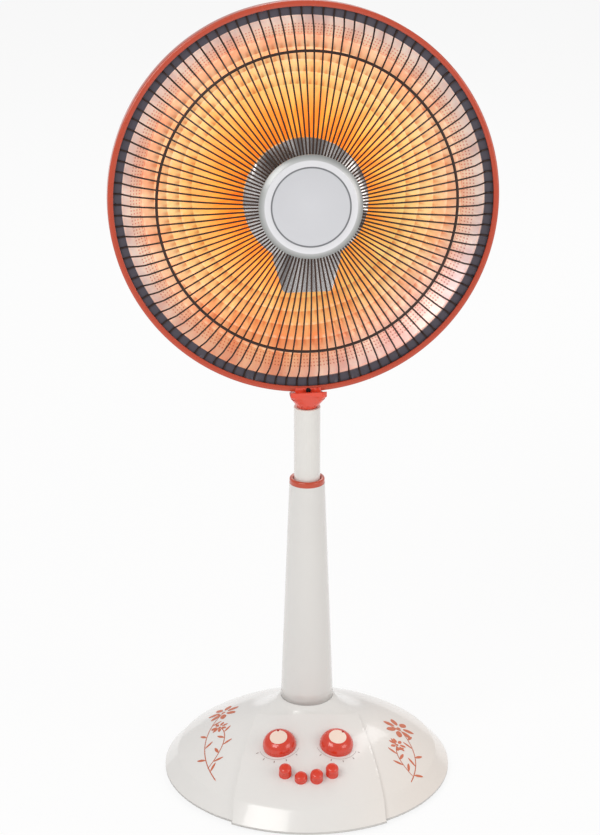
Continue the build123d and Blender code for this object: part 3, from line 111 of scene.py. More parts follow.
@dataclass(frozen=True)
class DomeForm:
    """The base's ball-shaped dome, which printed marks lie on."""

    crease_radius: float = 141.5
    crease_height: float = 22.0
    mid_radius: float = 104.0
    mid_height: float = 44.2
    wall_run: float = 14.5
    foot_height: float = 6.0
    shoulder_radius: float = 76.0
    neck_radius: float = 29.5
    seat_height: float = 87.0

    def height(self, x: float, y: float, rise: float = 0.0) -> float:
        """Return the height of the dome, raised by rise, at a place in plan.

        Args:
            x: Place to the right, in millimetres.
            y: Place to the back, in millimetres.
            rise: How far the surface stands out of the dome.

        Returns:
            The height in millimetres.
        """
        centre = (
            self.mid_radius ** 2 + self.mid_height ** 2
            - self.crease_radius ** 2 - self.crease_height ** 2
        ) / (2 * (self.mid_height - self.crease_height))
        ball = math.hypot(self.crease_radius, self.crease_height - centre)
        return centre + math.sqrt((ball + rise) ** 2 - x * x - y * y)

    def cover(self, x: float, y: float, rise: float = 0.0) -> float:
        """Return the height of the whole cover at a place in plan.

        Args:
            x: Place to the right, in millimetres.
            y: Place to the back, in millimetres.
            rise: How far the surface stands out of the plain cover.

        Returns:
            The height in millimetres.
        """
        radius = math.hypot(x, y)
        if radius < self.shoulder_radius:
            centre_r, centre_z, bend = self.flare()
            return centre_z - math.sqrt((bend - rise) ** 2 - (radius - centre_r) ** 2)
        slope = (self.crease_height - self.foot_height) / self.wall_run
        fall = (radius - self.crease_radius) * slope
        wall = self.crease_height - fall + rise * math.hypot(1, slope)
        if radius > self.crease_radius + self.wall_run / 2:
            return wall
        return min(self.height(x, y, rise), wall)

    def flare(self) -> tuple[float, float, float]:
        """Return the middle and radius of the round that runs up to the column."""
        start = Vector((self.shoulder_radius, self.height(self.shoulder_radius, 0)))
        lean = math.atan((self.height(self.shoulder_radius - 0.01, 0) - start.y) / 0.01)
        normal = Vector((math.sin(lean), math.cos(lean)))
        chord = start - Vector((self.neck_radius, self.seat_height))
        bend = -chord.length_squared / (2 * normal.dot(chord))
        centre = start + normal * bend
        return centre.x, centre.y, bend


HEAD = HeadPose()
DOME = DomeForm()


class NodeDesk:
    """A small helper that adds and joins nodes in one tree."""

    def __init__(self, tree: bpy.types.NodeTree) -> None:
        """Keep the tree that the nodes go into."""
        self.tree = tree

    @classmethod
    def clean(cls, owner: bpy.types.Material | bpy.types.World) -> "NodeDesk":
        """Turn an owner's nodes on, clear them and return a desk for them."""
        owner.use_nodes = True
        owner.node_tree.nodes.clear()
        return cls(owner.node_tree)

    def add(self, kind: str, settings: dict | None = None, **inputs: object) -> bpy.types.Node:
        """Add a node, set its options and fill or join its inputs.

        Args:
            kind: The node's type name without its ShaderNode prefix.
            settings: Options set on the node itself.
            **inputs: Input values or sockets, by name or as i0, i1 and so on.

        Returns:
            The new node.
        """
        node = self.tree.nodes.new("ShaderNode" + kind)
        for key, value in (settings or {}).items():
            setattr(node, key, value)
        for key, value in inputs.items():
            place = int(key[1:]) if key[0] == "i" and key[1:].isdigit() else key.replace("_", " ")
            socket = node.inputs[place]
            if isinstance(value, bpy.types.NodeSocket):
                self.tree.links.new(value, socket)
            else:
                socket.default_value = value
        return node

    def math(
        self, operation: str, a: object, b: object = 0.0, c: object = 0.0
    ) -> bpy.types.NodeSocket:
        """Add a math node and return its result socket."""
        return self.add("Math", {"operation": operation}, i0=a, i1=b, i2=c).outputs[0]

    def mul(self, a: object, b: object) -> bpy.types.NodeSocket:
        """Multiply two values."""
        return self.math("MULTIPLY", a, b)

    def sub(self, a: object, b: object) -> bpy.types.NodeSocket:
        """Take one value from another."""
        return self.math("SUBTRACT", a, b)

    def cell(self, value: object) -> bpy.types.NodeSocket:
        """Return where a value lies in its cell, from minus to plus a half."""
        return self.sub(self.math("FRACT", value), 0.5)

    def between(self, value: object, low: float, high: float) -> bpy.types.NodeSocket:
        """Return 1 where a value lies between two others and 0 elsewhere."""
        return self.mul(self.math("GREATER_THAN", value, low), self.math("LESS_THAN", value, high))

    def fade(
        self, value: object, low: float, high: float, a: float, b: float
    ) -> bpy.types.NodeSocket:
        """Add a smooth map of a value from one range to another."""
        node = self.add(
            "MapRange", {"interpolation_type": "SMOOTHSTEP"},
            Value=value, From_Min=low, From_Max=high, To_Min=a, To_Max=b,
        )
        return node.outputs["Result"]

    def ramp(self, value: object, stops: Sequence[tuple[float, str]]) -> bpy.types.NodeSocket:
        """Add a colour ramp with the given places and display colours."""
        node = self.add("ValToRGB", None, Fac=value)
        marks = node.color_ramp.elements
        for index, (place, code) in enumerate(stops):
            mark = marks[index] if index < 2 else marks.new(place)
            mark.position = place
            mark.color = tone(code)
        return node.outputs["Color"]

    def tint(self, mode: str, factor: object, a: object, b: object) -> bpy.types.NodeSocket:
        """Add a colour mix and return its colour."""
        node = self.tree.nodes.new("ShaderNodeMix")
        node.data_type, node.blend_type = "RGBA", mode
        for place, value in ((0, factor), (6, a), (7, b)):
            if isinstance(value, bpy.types.NodeSocket):
                self.tree.links.new(value, node.inputs[place])
            else:
                node.inputs[place].default_value = value
        return node.outputs[2]


def node_group(
    name: str,
    inputs: Sequence[tuple[str, str]],
    outputs: Sequence[tuple[str, str]],
    build: Callable[[NodeDesk, bpy.types.Node], dict],
) -> bpy.types.NodeTree:
    """Make a shader node group once.

    Args:
        name: The group's name.
        inputs: Names and kinds of its inputs.
        outputs: Names and kinds of its outputs.
        build: Adds the inner nodes and returns the output sockets by name.

    Returns:
        The group's tree.
    """
    kinds = {"value": "NodeSocketFloat", "colour": "NodeSocketColor", "vector": "NodeSocketVector"}
    tree = bpy.data.node_groups.new(name, "ShaderNodeTree")
    for label, kind in inputs:
        tree.interface.new_socket(label, in_out="INPUT", socket_type=kinds[kind])
    for label, kind in outputs:
        tree.interface.new_socket(label, in_out="OUTPUT", socket_type=kinds[kind])
    desk = NodeDesk(tree)
    source = tree.nodes.new("NodeGroupInput")
    sink = tree.nodes.new("NodeGroupOutput")
    for label, socket in build(desk, source).items():
        tree.links.new(socket, sink.inputs[label])
    return tree


def _surface_nodes(desk: NodeDesk, source: bpy.types.Node) -> dict:
    """Fill the moulded surface group: tone, roughness and a fine height."""
    out = source.outputs
    place = out["Place"]
    cloud = desk.add("TexNoise", None, Vector=place, Scale=CLOUD_SCALE, Detail=3.0, Roughness=0.55)
    shade = desk.math("MULTIPLY_ADD", desk.sub(cloud.outputs["Fac"], 0.5), out["Tone"], 1.0)
    grey = desk.add("CombineColor", None, Red=shade, Green=shade, Blue=shade)
    colour = desk.tint("MULTIPLY", 1.0, out["Colour"], grey.outputs[0])
    rub = desk.add("TexNoise", None, Vector=place, Scale=RUB_SCALE, Detail=4.0, Roughness=0.6)
    rough = desk.math(
        "MULTIPLY_ADD", desk.sub(rub.outputs["Fac"], 0.5), out["Rub"], out["Roughness"]
    )
    grain = desk.add("TexNoise", None, Vector=place, Scale=out["Grain Scale"], Detail=2.0)
    return {"Colour": colour, "Roughness": rough, "Height": grain.outputs["Fac"]}


def _polar_nodes(desk: NodeDesk, source: bpy.types.Node) -> dict:
    """Fill the dish measure group: radius and turn round the dish, in millimetres and turns."""
    split = desk.add("SeparateXYZ", None, Vector=source.outputs["Place"]).outputs
    square = desk.math("ADD", desk.mul(split[0], split[0]), desk.mul(split[1], split[1]))
    turn = desk.math("DIVIDE", desk.math("ARCTAN2", split[1], split[0]), 2 * math.pi)
    return {
        "Radius": desk.math("SQRT", square), "Turn": desk.math("ADD", turn, 0.5),
        "Side": split[0], "Rise": split[1],
    }


SURFACE = node_group(
    "moulded_surface",
    (("Place", "vector"), ("Colour", "colour"), ("Tone", "value"), ("Roughness", "value"),
     ("Rub", "value"), ("Grain Scale", "value")),
    (("Colour", "colour"), ("Roughness", "value"), ("Height", "value")),
    _surface_nodes,
)
POLAR = node_group(
    "dish_measure",
    (("Place", "vector"),),
    (("Radius", "value"), ("Turn", "value"), ("Side", "value"), ("Rise", "value")),
    _polar_nodes,
)


@dataclass(frozen=True)
class Finish:
    """A moulded, painted or plated finish with fine surface change."""

    name: str
    colour: str
    roughness: float
    metallic: float = 0.0
    coat: float = 0.0
    tone_change: float = 0.08
    rub: float = 0.08
    grain_scale: float = 700.0
    grain: float = 0.05
    glow: float = 0.0
    clear: float = 0.0
    rings: float = 0.0

    def material(self) -> bpy.types.Material:
        """Build the material.

        Returns:
            The new material.
        """
        material = bpy.data.materials.new(self.name)
        desk = NodeDesk.clean(material)
        place = desk.add("TexCoord").outputs["Object"]
        surface = desk.tree.nodes.new("ShaderNodeGroup")
        surface.node_tree = SURFACE
        desk.tree.links.new(place, surface.inputs["Place"])
        for label, value in (
            ("Colour", tone(self.colour)), ("Tone", self.tone_change),
            ("Roughness", self.roughness), ("Rub", self.rub), ("Grain Scale", self.grain_scale),
        ):
            surface.inputs[label].default_value = value
        colour, rough, height = surface.outputs
        height, colour, rough = self.shape(desk, place, colour, rough, height)
        bump = desk.add("Bump", None, Strength=self.grain, Distance=GRAIN_DEPTH, Height=height)
        shader = desk.add(
            "BsdfPrincipled", None, Base_Color=colour, Roughness=rough, Normal=bump.outputs[0],
        )
        shader.inputs["Metallic"].default_value = self.metallic
        shader.inputs["Coat Weight"].default_value = self.coat
        shader.inputs["Coat Roughness"].default_value = COAT_ROUGHNESS
        if self.clear:
            shader.inputs["Transmission Weight"].default_value = self.clear
            shader.inputs["IOR"].default_value = QUARTZ_INDEX
        # The filament's glow is its lamp; on the reflector the glow is painted lamp light.
        if self.glow:
            desk.tree.links.new(self.lamp_side(desk, colour), shader.inputs["Emission Color"])
            shader.inputs["Emission Strength"].default_value = self.glow
        output = desk.add("OutputMaterial")
        desk.tree.links.new(shader.outputs[0], output.inputs["Surface"])
        return material

    def lamp_side(self, desk: NodeDesk, colour: object) -> object:
        """Return the colour that glows, the whole of it where nothing shades it."""
        return colour

    def shape(
        self, desk: NodeDesk, place: object, colour: object, rough: object, height: object
    ) -> tuple[object, object, object]:
        """Add turned rings round the dish's axis where the finish has them.

        Args:
            desk: The material's nodes.
            place: The object coordinates.
            colour: The colour so far.
            rough: The roughness so far.
            height: The height so far.

        Returns:
            Height, colour and roughness.
        """
        if not self.rings:
            return height, colour, rough
        polar = dish_measure(desk, place)
        wave = desk.math("SINE", desk.mul(polar["Radius"], self.rings))
        return desk.math("MULTIPLY_ADD", wave, 0.5, height), colour, rough


def dish_measure(desk: NodeDesk, place: object) -> dict[str, object]:
    """Turn object coordinates into the dish's own radius and turn.

    Args:
        desk: The material's nodes.
        place: The object coordinates, in metres.

    Returns:
        The sockets Radius (millimetres), Turn (0 to 1), Side and Rise.
    """
    pose = HEAD.matrix()
    turn = pose.to_3x3().normalized().transposed()
    back = desk.add("VectorMath", {"operation": "SUBTRACT"}, i0=place, i1=tuple(pose.translation))
    rows = []
    for row in turn:
        axis = tuple(row / MM)
        dot = desk.add("VectorMath", {"operation": "DOT_PRODUCT"}, i0=back.outputs[0], i1=axis)
        rows.append(dot.outputs["Value"])
    joined = desk.add("CombineXYZ", None, X=rows[0], Y=rows[1], Z=rows[2])
    group = desk.tree.nodes.new("ShaderNodeGroup")
    group.node_tree = POLAR
    desk.tree.links.new(joined.outputs[0], group.inputs["Place"])
    return {label: group.outputs[label] for label in ("Radius", "Turn", "Side", "Rise")}


@dataclass(frozen=True)
class PaintedDishGlow(Finish):
    """Bright pressed metal with the lamp's light painted into its colour and a painted glow, in
    rings of orange, yellow and peach.
    """

    # Painted lamp light: the ring colours, a deeper orange below and a painted highlight to the
    # lower right.
    light_reach: float = 200.0
    light: tuple[tuple[float, str], ...] = (
        (0.0, "F58A2C"), (0.92, "D8C4C0"), (0.30, "FA9A38"), (0.42, "FDB14F"), (0.56, "FFD489"),
        (0.68, "FFD79C"), (0.76, "FBC79C"), (0.84, "F0BFA6"), (1.0, "C9BDBF"),
    )
    painted_low_light: str = "F08A3A"
    painted_side_highlight: str = "E6D2DA"
    painted_reflection_streaks: tuple[tuple[float, str], ...] = ((0.3, "6E5648"), (0.72, "FFF6E0"))
    streak_reach: float = 6.0
    streak_run: float = 0.02
    dot_columns: int = 324
    dot_rows: int = 4
    dot_inner: float = 167.6
    dot_outer: float = 180.0
    dot_shade: str = "A5776A"
    row_inner: float = 113.0
    row_pitch: float = 13.5
    scallops: int = 108
    # Painted shade inside each scallop and a painted gleam on its outer edge.
    scallop_shade: str = "C98A5E"
    scallop_gleam: str = "B8A48C"

    def shape(
        self, desk: NodeDesk, place: object, colour: object, rough: object, height: object
    ) -> tuple[object, object, object]:
        """Add the painted lamp light, the painted shade and gleam in the scallops, and the dots
        near the lip, darkened with painted shade.
        """
        polar = dish_measure(desk, place)
        lit = self.lamp_light(desk, polar)
        dot = self.dots(desk, polar)
        # The embossed dots are darkened with painted shade.
        lit = desk.tint("MULTIPLY", desk.mul(dot, 0.62), lit, tone(self.dot_shade))
        lit = self.scallop_light(desk, polar, lit)
        return desk.math("MULTIPLY_ADD", dot, 3.0, height), lit, rough

    def lamp_light(self, desk: NodeDesk, polar: dict[str, object]) -> object:
        """Return the painted rings of lamp light, a deeper orange painted below and a painted
        highlight to the lower right.
        """
        radius = polar["Radius"]
        lit = desk.ramp(desk.math("DIVIDE", radius, self.light_reach), self.light)
        turn = desk.mul(polar["Turn"], 2 * math.pi)
        spot = desk.add(
            "CombineXYZ", None, X=desk.mul(desk.math("COSINE", turn), self.streak_reach),
            Y=desk.mul(desk.math("SINE", turn), self.streak_reach),
            Z=desk.mul(radius, self.streak_run),
        )
        streak = desk.add("TexNoise", None, Vector=spot.outputs[0], Scale=1.6, Detail=3.0)
        # Painted light: deeper orange towards the bottom of the dish.
        low = desk.math("MULTIPLY_ADD", polar["Rise"], -1.0, desk.mul(radius, -0.35))
        deep = desk.fade(low, 10.0, 110.0, 0.0, 0.55)
        lit = desk.tint("MIX", deep, lit, tone(self.painted_low_light))
        # Painted highlight, paler to the lower right.
        slant = desk.sub(desk.mul(polar["Side"], 0.8), polar["Rise"])
        pale = desk.fade(slant, 150.0, 230.0, 0.0, 0.5)
        lit = desk.tint("MIX", pale, lit, tone(self.painted_side_highlight))
        # Painted reflection: soft dark and bright stripes laid over the painted light.
        shade = desk.ramp(streak.outputs["Fac"], self.painted_reflection_streaks)
        return desk.tint("SOFT_LIGHT", 0.6, lit, shade)

    def dots(self, desk: NodeDesk, polar: dict[str, object]) -> object:
        """Return a mask of the embossed dots."""
        radius = polar["Radius"]
        pitch = (self.dot_outer - self.dot_inner) / self.dot_rows
        across = desk.cell(desk.mul(polar["Turn"], self.dot_columns))
        down = desk.cell(desk.math("DIVIDE", desk.sub(radius, self.dot_inner), pitch))
        square = desk.math("ADD", desk.mul(across, across), desk.mul(down, down))
        dot = desk.fade(desk.math("SQRT", square), 0.18, 0.34, 1.0, 0.0)
        return desk.mul(dot, desk.between(radius, self.dot_inner, self.dot_outer))

    def scallop_light(self, desk: NodeDesk, polar: dict[str, object], lit: object) -> object:
        """Paint shade on each pressed cell's inner part and a painted gleam on its outer edge."""
        radius = polar["Radius"]
        cell = desk.math("ABSOLUTE", desk.cell(desk.mul(polar["Turn"], self.scallops)))
        along = desk.math("DIVIDE", desk.sub(radius, self.row_inner), self.row_pitch)
        row = desk.math("FRACT", along)
        inner = desk.between(radius, self.row_inner, self.dot_inner)
        dark = desk.mul(desk.fade(row, 0.0, 0.7, 0.75, 0.0), desk.fade(cell, 0.1, 0.5, 0.35, 1.0))
        lit = desk.tint("MULTIPLY", desk.mul(dark, inner), lit, tone(self.scallop_shade))
        edge = desk.fade(row, 0.72, 0.95, 0.0, 0.75)
        gleam = desk.mul(edge, desk.fade(cell, 0.05, 0.4, 1.0, 0.1))
        return desk.tint("SCREEN", desk.mul(gleam, inner), lit, tone(self.scallop_gleam))

    def lamp_side(self, desk: NodeDesk, colour: object) -> object:
        """Keep the painted glow, which stands in for the lamp's light, on the faces that look
        forward.
        """
        forward = tuple(HEAD.matrix().to_3x3().normalized().col[2])
        normal = desk.add("TexCoord").outputs["Normal"]
        facing = desk.add("VectorMath", {"operation": "DOT_PRODUCT"}, i0=normal, i1=forward)
        front = desk.fade(facing.outputs["Value"], -0.1, 0.1, 0.0, 1.0)
        return desk.tint("MIX", front, (0.02, 0.015, 0.01, 1.0), colour)


@dataclass(frozen=True)
class TurnedPaintedShadeFinish(Finish):
    """A turned face whose painted shade changes from ring to ring: dark in its groove, a grey
    painted reflection on its bevel.
    """

    # Painted shade: dark in the groove near 40 mm, and grey painted reflection on the bevel from
    # 48 mm out.
    stops: tuple[tuple[float, str], ...] = (
        (0.0, "E6E7EA"), (1.0, "8F918E"), (0.655, "E0E1E4"), (0.665, "85878A"), (0.68, "85878A"),
        (0.69, "F3F3F5"), (0.785, "F6F6F8"), (0.80, "C9CAC9"), (0.87, "A2A4A1"),
    )
    reach: float = 60.0

    def shape(
        self, desk: NodeDesk, place: object, colour: object, rough: object, height: object
    ) -> tuple[object, object, object]:
        """Paint the rings' shade and reflection, and add the fine turning marks."""
        radius = dish_measure(desk, place)["Radius"]
        shade = desk.ramp(desk.math("DIVIDE", radius, self.reach), self.stops)
        wave = desk.math("SINE", desk.mul(radius, self.rings))
        turned = desk.math("MULTIPLY_ADD", wave, 0.5, height)
        return turned, desk.tint("MULTIPLY", 1.0, colour, shade), rough


@dataclass(frozen=True)
class PaintedReflectionChrome(Finish):
    """Polished plate with a painted reflection of soft dark and bright stripes from its middle."""

    painted_reflection_streaks: tuple[tuple[float, str], ...] = ((0.36, "8A888A"), (0.54, "FFFFFF"))

    def shape(
        self, desk: NodeDesk, place: object, colour: object, rough: object, height: object
    ) -> tuple[object, object, object]:
        """Add the painted reflection round the dish's axis."""
        turn = desk.mul(dish_measure(desk, place)["Turn"], 2 * math.pi)
        spot = desk.add("CombineXYZ", None, X=desk.math("COSINE", turn), Y=desk.math("SINE", turn))
        streak = desk.add("TexNoise", None, Vector=spot.outputs[0], Scale=2.6, Detail=3.0)
        shade = desk.ramp(streak.outputs["Fac"], self.painted_reflection_streaks)
        return height, desk.tint("MULTIPLY", 1.0, colour, shade), rough


@dataclass(frozen=True)
class PearlFinish(Finish):
    """Glossy pale moulding with painted light, a little warmer, on its right side."""

    painted_warm_light: str = "EFE4DA"

    def shape(
        self, desk: NodeDesk, place: object, colour: object, rough: object, height: object
    ) -> tuple[object, object, object]:
        """Paint warmer light on the colour towards the right side."""
        side = desk.add("SeparateXYZ", None, Vector=place).outputs[0]
        painted_warm_light = desk.fade(side, 0.0, 0.15, 0.0, 0.7)
        return height, desk.tint("MIX", painted_warm_light, colour, tone(self.painted_warm_light)), rough


FINISHES: dict[str, Finish] = {finish.name: finish for finish in (
    PearlFinish("white_plastic", "E9E7E4", 0.24, coat=0.5, tone_change=0.03,
                rub=0.06, grain_scale=900, grain=0.02),
    PearlFinish("white_column", "DFDDDA", 0.22, coat=0.5, tone_change=0.04,
                rub=0.05, grain_scale=900, grain=0.02),
    PearlFinish("white_pole", "E4E2DE", 0.20, coat=0.6, tone_change=0.04, rub=0.05,
                grain_scale=500, grain=0.03),
    Finish("base_plate", "D0CECB", 0.5, grain_scale=1200, grain=0.2),
    Finish("foot_rubber", "161616", 0.8, grain_scale=900, grain=0.35, tone_change=0.2),
    Finish("gland_rubber", "1A1A1B", 0.6, grain_scale=800, grain=0.2, tone_change=0.15),
    Finish("zinc_steel", "B9BABD", 0.32, metallic=1.0, tone_change=0.18, rub=0.2,
           grain_scale=400, grain=0.1),
    Finish("ballast_iron", "3A3A3C", 0.75, metallic=0.5, tone_change=0.4,
           grain_scale=180, grain=0.6),
    Finish("nylon", "E5E3DC", 0.45, grain_scale=600, grain=0.1),
    Finish("switch_black", "1C1C1E", 0.5, grain_scale=1000, grain=0.15, tone_change=0.15),
    Finish("orange_trim", "C24526", 0.28, coat=0.5, tone_change=0.12, rub=0.08,
           grain_scale=800, grain=0.03),
    Finish("orange_neck", "E8482F", 0.26, coat=0.5, tone_change=0.10, rub=0.08,
           grain_scale=800, grain=0.04),
    Finish("orange_knob", "D93A22", 0.24, coat=0.6, tone_change=0.12, rub=0.06,
           grain_scale=900, grain=0.03),
    Finish("orange_key", "DC3C26", 0.28, coat=0.5, tone_change=0.12, rub=0.06,
           grain_scale=900, grain=0.03),
    Finish("rear_orange", "C6502F", 0.38, coat=0.2, tone_change=0.12, rub=0.1,
           grain_scale=1100, grain=0.12),
    Finish("black_screw", "141414", 0.35, metallic=0.6, tone_change=0.2,
           grain_scale=500, grain=0.1),
    Finish("dark_band", "55505A", 0.42, metallic=0.3, tone_change=0.14,
           grain_scale=600, grain=0.1, rings=4.0),
    Finish("dark_wire", "3B2A24", 0.38, metallic=0.4, tone_change=0.3,
           grain_scale=500, grain=0.1),
    TurnedPaintedShadeFinish("silver_hub", "F4F4F6", 0.34, metallic=0.25, coat=0.3,
                 tone_change=0.04, grain_scale=900, grain=0.03, rings=3.0),
    # The reflector's glow is painted lamp light; the dish is no lamp.
    PaintedDishGlow("reflector_aluminium", "E0C8A8", 0.3, metallic=0.45, rub=0.12,
             grain_scale=500, grain=0.16, glow=0.5),
    PaintedReflectionChrome("shield_chrome", "F2F0F0", 0.24, metallic=0.8, tone_change=0.08,
                   rub=0.06, grain_scale=500, grain=0.01),
    Finish("quartz", "FFE9CC", 0.04, clear=1.0, tone_change=0.02, rub=0.02,
           grain_scale=200, grain=0.02),
    Finish("filament", "FF8A30", 0.6, tone_change=0.3, grain_scale=900, grain=0.3, glow=7.0),
    Finish("ceramic", "E9E5DA", 0.55, grain_scale=700, grain=0.2),
    Finish("knob_cap", "F6DFCF", 0.34, coat=0.3, tone_change=0.05, grain_scale=900, grain=0.03),
)}
PRINT_FINISH = Finish("sprig_print", "D0704F", 0.4, tone_change=0.35, grain_scale=1200, grain=0.05)
MARK_FINISH = Finish("dial_print", "9C8A84", 0.45, tone_change=0.2, grain_scale=1200, grain=0.05)
_made: dict[str, bpy.types.Material] = {}


def finish_named(finish: Finish) -> bpy.types.Material:
    """Build a finish's material once and return it."""
    if finish.name not in _made:
        _made[finish.name] = finish.material()
    return _made[finish.name]


class Bench:
    """The modelling steps that all sub-assemblies share."""

    @staticmethod
    def only(obj: bpy.types.Object) -> None:
        """Select one object and make it active."""
        bpy.ops.object.select_all(action="DESELECT")
        obj.select_set(True)
        bpy.context.view_layer.objects.active = obj

    @staticmethod
    def start() -> None:
        """Leave nothing selected, ready for a new primitive."""
        bpy.ops.object.select_all(action="DESELECT")
        bpy.context.view_layer.objects.active = None

    @staticmethod
    def smooth(obj: bpy.types.Object, angle: float = 30.0) -> None:
        """Shade an object smooth but for edges sharper than an angle in degrees."""
        Bench.only(obj)
        bpy.ops.object.shade_smooth_by_angle(angle=math.radians(angle))

    @staticmethod
    @contextmanager
    def editing(obj: bpy.types.Object, everything: bool = True) -> Iterator[None]:
        """Open an object's mesh for editing, and close it again.

        Args:
            obj: The object.
            everything: Whether all of its mesh is selected first.
        """
        Bench.only(obj)
        bpy.ops.object.mode_set(mode="EDIT")
        if everything:
            bpy.ops.mesh.select_all(action="SELECT")
        yield
        bpy.ops.object.mode_set(mode="OBJECT")

    @staticmethod
    def merge(obj: bpy.types.Object, gap: float = 1e-5) -> None:
        """Merge doubled points."""
        with Bench.editing(obj):
            bpy.ops.mesh.remove_doubles(threshold=gap)

    @staticmethod
    def sheet(obj: bpy.types.Object, thickness: float) -> None:
        """Turn an open surface's faces up and give it a thickness below them."""
        if sum(face.normal.z for face in obj.data.polygons) < 0:
            with Bench.editing(obj):
                bpy.ops.mesh.flip_normals()
        wall = obj.modifiers.new("sheet", "SOLIDIFY")
        wall.thickness, wall.offset = thickness, -1.0
        Bench.only(obj)
        bpy.ops.object.modifier_apply(modifier="sheet")

    @staticmethod
    def extrude(line: Sequence[tuple[float, float]]) -> None:
        """Extrude what is selected along a line of radii and heights."""
        for before, after in zip(line, line[1:]):
            step = (after[0] - before[0], 0, after[1] - before[1])
            bpy.ops.mesh.extrude_region_move(TRANSFORM_OT_translate={"value": step})

    @staticmethod
    def settle(obj: bpy.types.Object, matrix: Matrix) -> None:
        """Put a piece's place into its mesh and leave the object at the origin."""
        obj.data.transform(matrix @ obj.matrix_world)
        obj.matrix_world = Matrix.Identity(4)

    @staticmethod
    def join(objects: Iterable[bpy.types.Object]) -> bpy.types.Object:
        """Join objects into the first one and return it."""
        items = list(objects)
        bpy.ops.object.select_all(action="DESELECT")
        for item in items:
            item.select_set(True)
        bpy.context.view_layer.objects.active = items[0]
        bpy.ops.object.join()
        return items[0]

    @staticmethod
    def spun(
        line: Sequence[tuple[float, float]], steps: int, closed: bool = False
    ) -> bpy.types.Object:
        """Extrude a line point by point and spin it round the Z axis.

        Args:
            line: Radius and height of each point.
            steps: Count of steps round.
            closed: Whether the line's end joins its start.

        Returns:
            The spun piece, with its doubles merged and its faces outwards.
        """
        Bench.start()
        bpy.ops.mesh.primitive_plane_add(size=1.0, location=(0, 0, 0))
        piece = bpy.context.object
        with Bench.editing(piece):
            bpy.ops.mesh.merge(type="CENTER")
            bpy.ops.transform.translate(value=(line[0][0], 0, line[0][1]))
            Bench.extrude(list(line) + ([line[0]] if closed else []))
            bpy.ops.mesh.select_all(action="SELECT")
            bpy.ops.mesh.spin(steps=steps, angle=2 * math.pi, center=(0, 0, 0), axis=(0, 0, 1))
            bpy.ops.mesh.select_all(action="SELECT")
            bpy.ops.mesh.remove_doubles(threshold=SPUN_GAP)
            bpy.ops.mesh.normals_make_consistent(inside=False)
        return piece

    @staticmethod
    def copy(obj: bpy.types.Object, matrix: Matrix) -> bpy.types.Object:
        """Return a copy with its own mesh, moved by a matrix."""
        twin = bpy.data.objects.new(obj.name, obj.data.copy())
        twin.data.transform(matrix)
        bpy.context.scene.collection.objects.link(twin)
        return twin

    @staticmethod
    def dress(
        obj: bpy.types.Object, name: str, body: Body, finish: Finish, slot: str
    ) -> bpy.types.Object:
        """Name a piece, give it its finish and let it ride on its body.

        Args:
            obj: The finished piece, at its place.
            name: The piece's name.
            body: The body that it rides on.
            finish: Its finish.
            slot: The record's material slot; not used.

        Returns:
            The same object.
        """
        obj.name = obj.data.name = name
        obj.data.materials.clear()
        obj.data.materials.append(finish_named(finish))
        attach(obj, body.value)
        LOG.info("%s: %d faces on %s", name, len(obj.data.polygons), body.value)
        return obj


@dataclass
class SolidSkins:
    """Smooth skins over the round solids, and finishes on all others."""

    skins: dict[str, float] = field(default_factory=lambda: {
        "column_sleeve": 30.0, "collar_ring": 40.0, "pole_tube": 30.0, "swivel_neck": 22.0,
        "tilt_bracket": 28.0, "guard_band": 30.0, "guard_hub_back": 30.0,
        "centre_shield": 30.0, "rear_shell": 30.0, "rear_cap": 35.0, "lamp_tube": 40.0,
        "lamp_filament": 40.0, "timer_knob": 30.0, "thermostat_knob": 30.0,
        "timer_knob_cap": 30.0, "thermostat_knob_cap": 30.0, "key_1": 35.0, "key_2": 35.0,
        "key_3": 35.0, "key_4": 35.0, "base_bottom": 30.0,
    })

    def build(self) -> None:
        """Dress every solid, and lay a skin over each round one that shows."""
        slots = {row["node"]: row["material_slot"] for row in frame["record"]["subparts"]}
        rows = frame["record"]["behaviour"]["bodies"]
        bodies = {node: body for body, names in rows.items() for node in names}
        for node, obj in frame["nodes"].items():
            material = finish_named(FINISHES[slots[node]])
            for index in range(len(obj.material_slots)):
                obj.material_slots[index].material = material
        for node, angle in self.skins.items():
            source = frame["nodes"][node]
            skin = bpy.data.objects.new(node + "_skin", source.data.copy())
            bpy.context.scene.collection.objects.link(skin)
            Bench.merge(skin)
            Bench.smooth(skin, angle)
            slot = slots[node]
            Bench.dress(skin, node + "_skin", Body(bodies[node]), FINISHES[slot], slot)
            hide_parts(node)


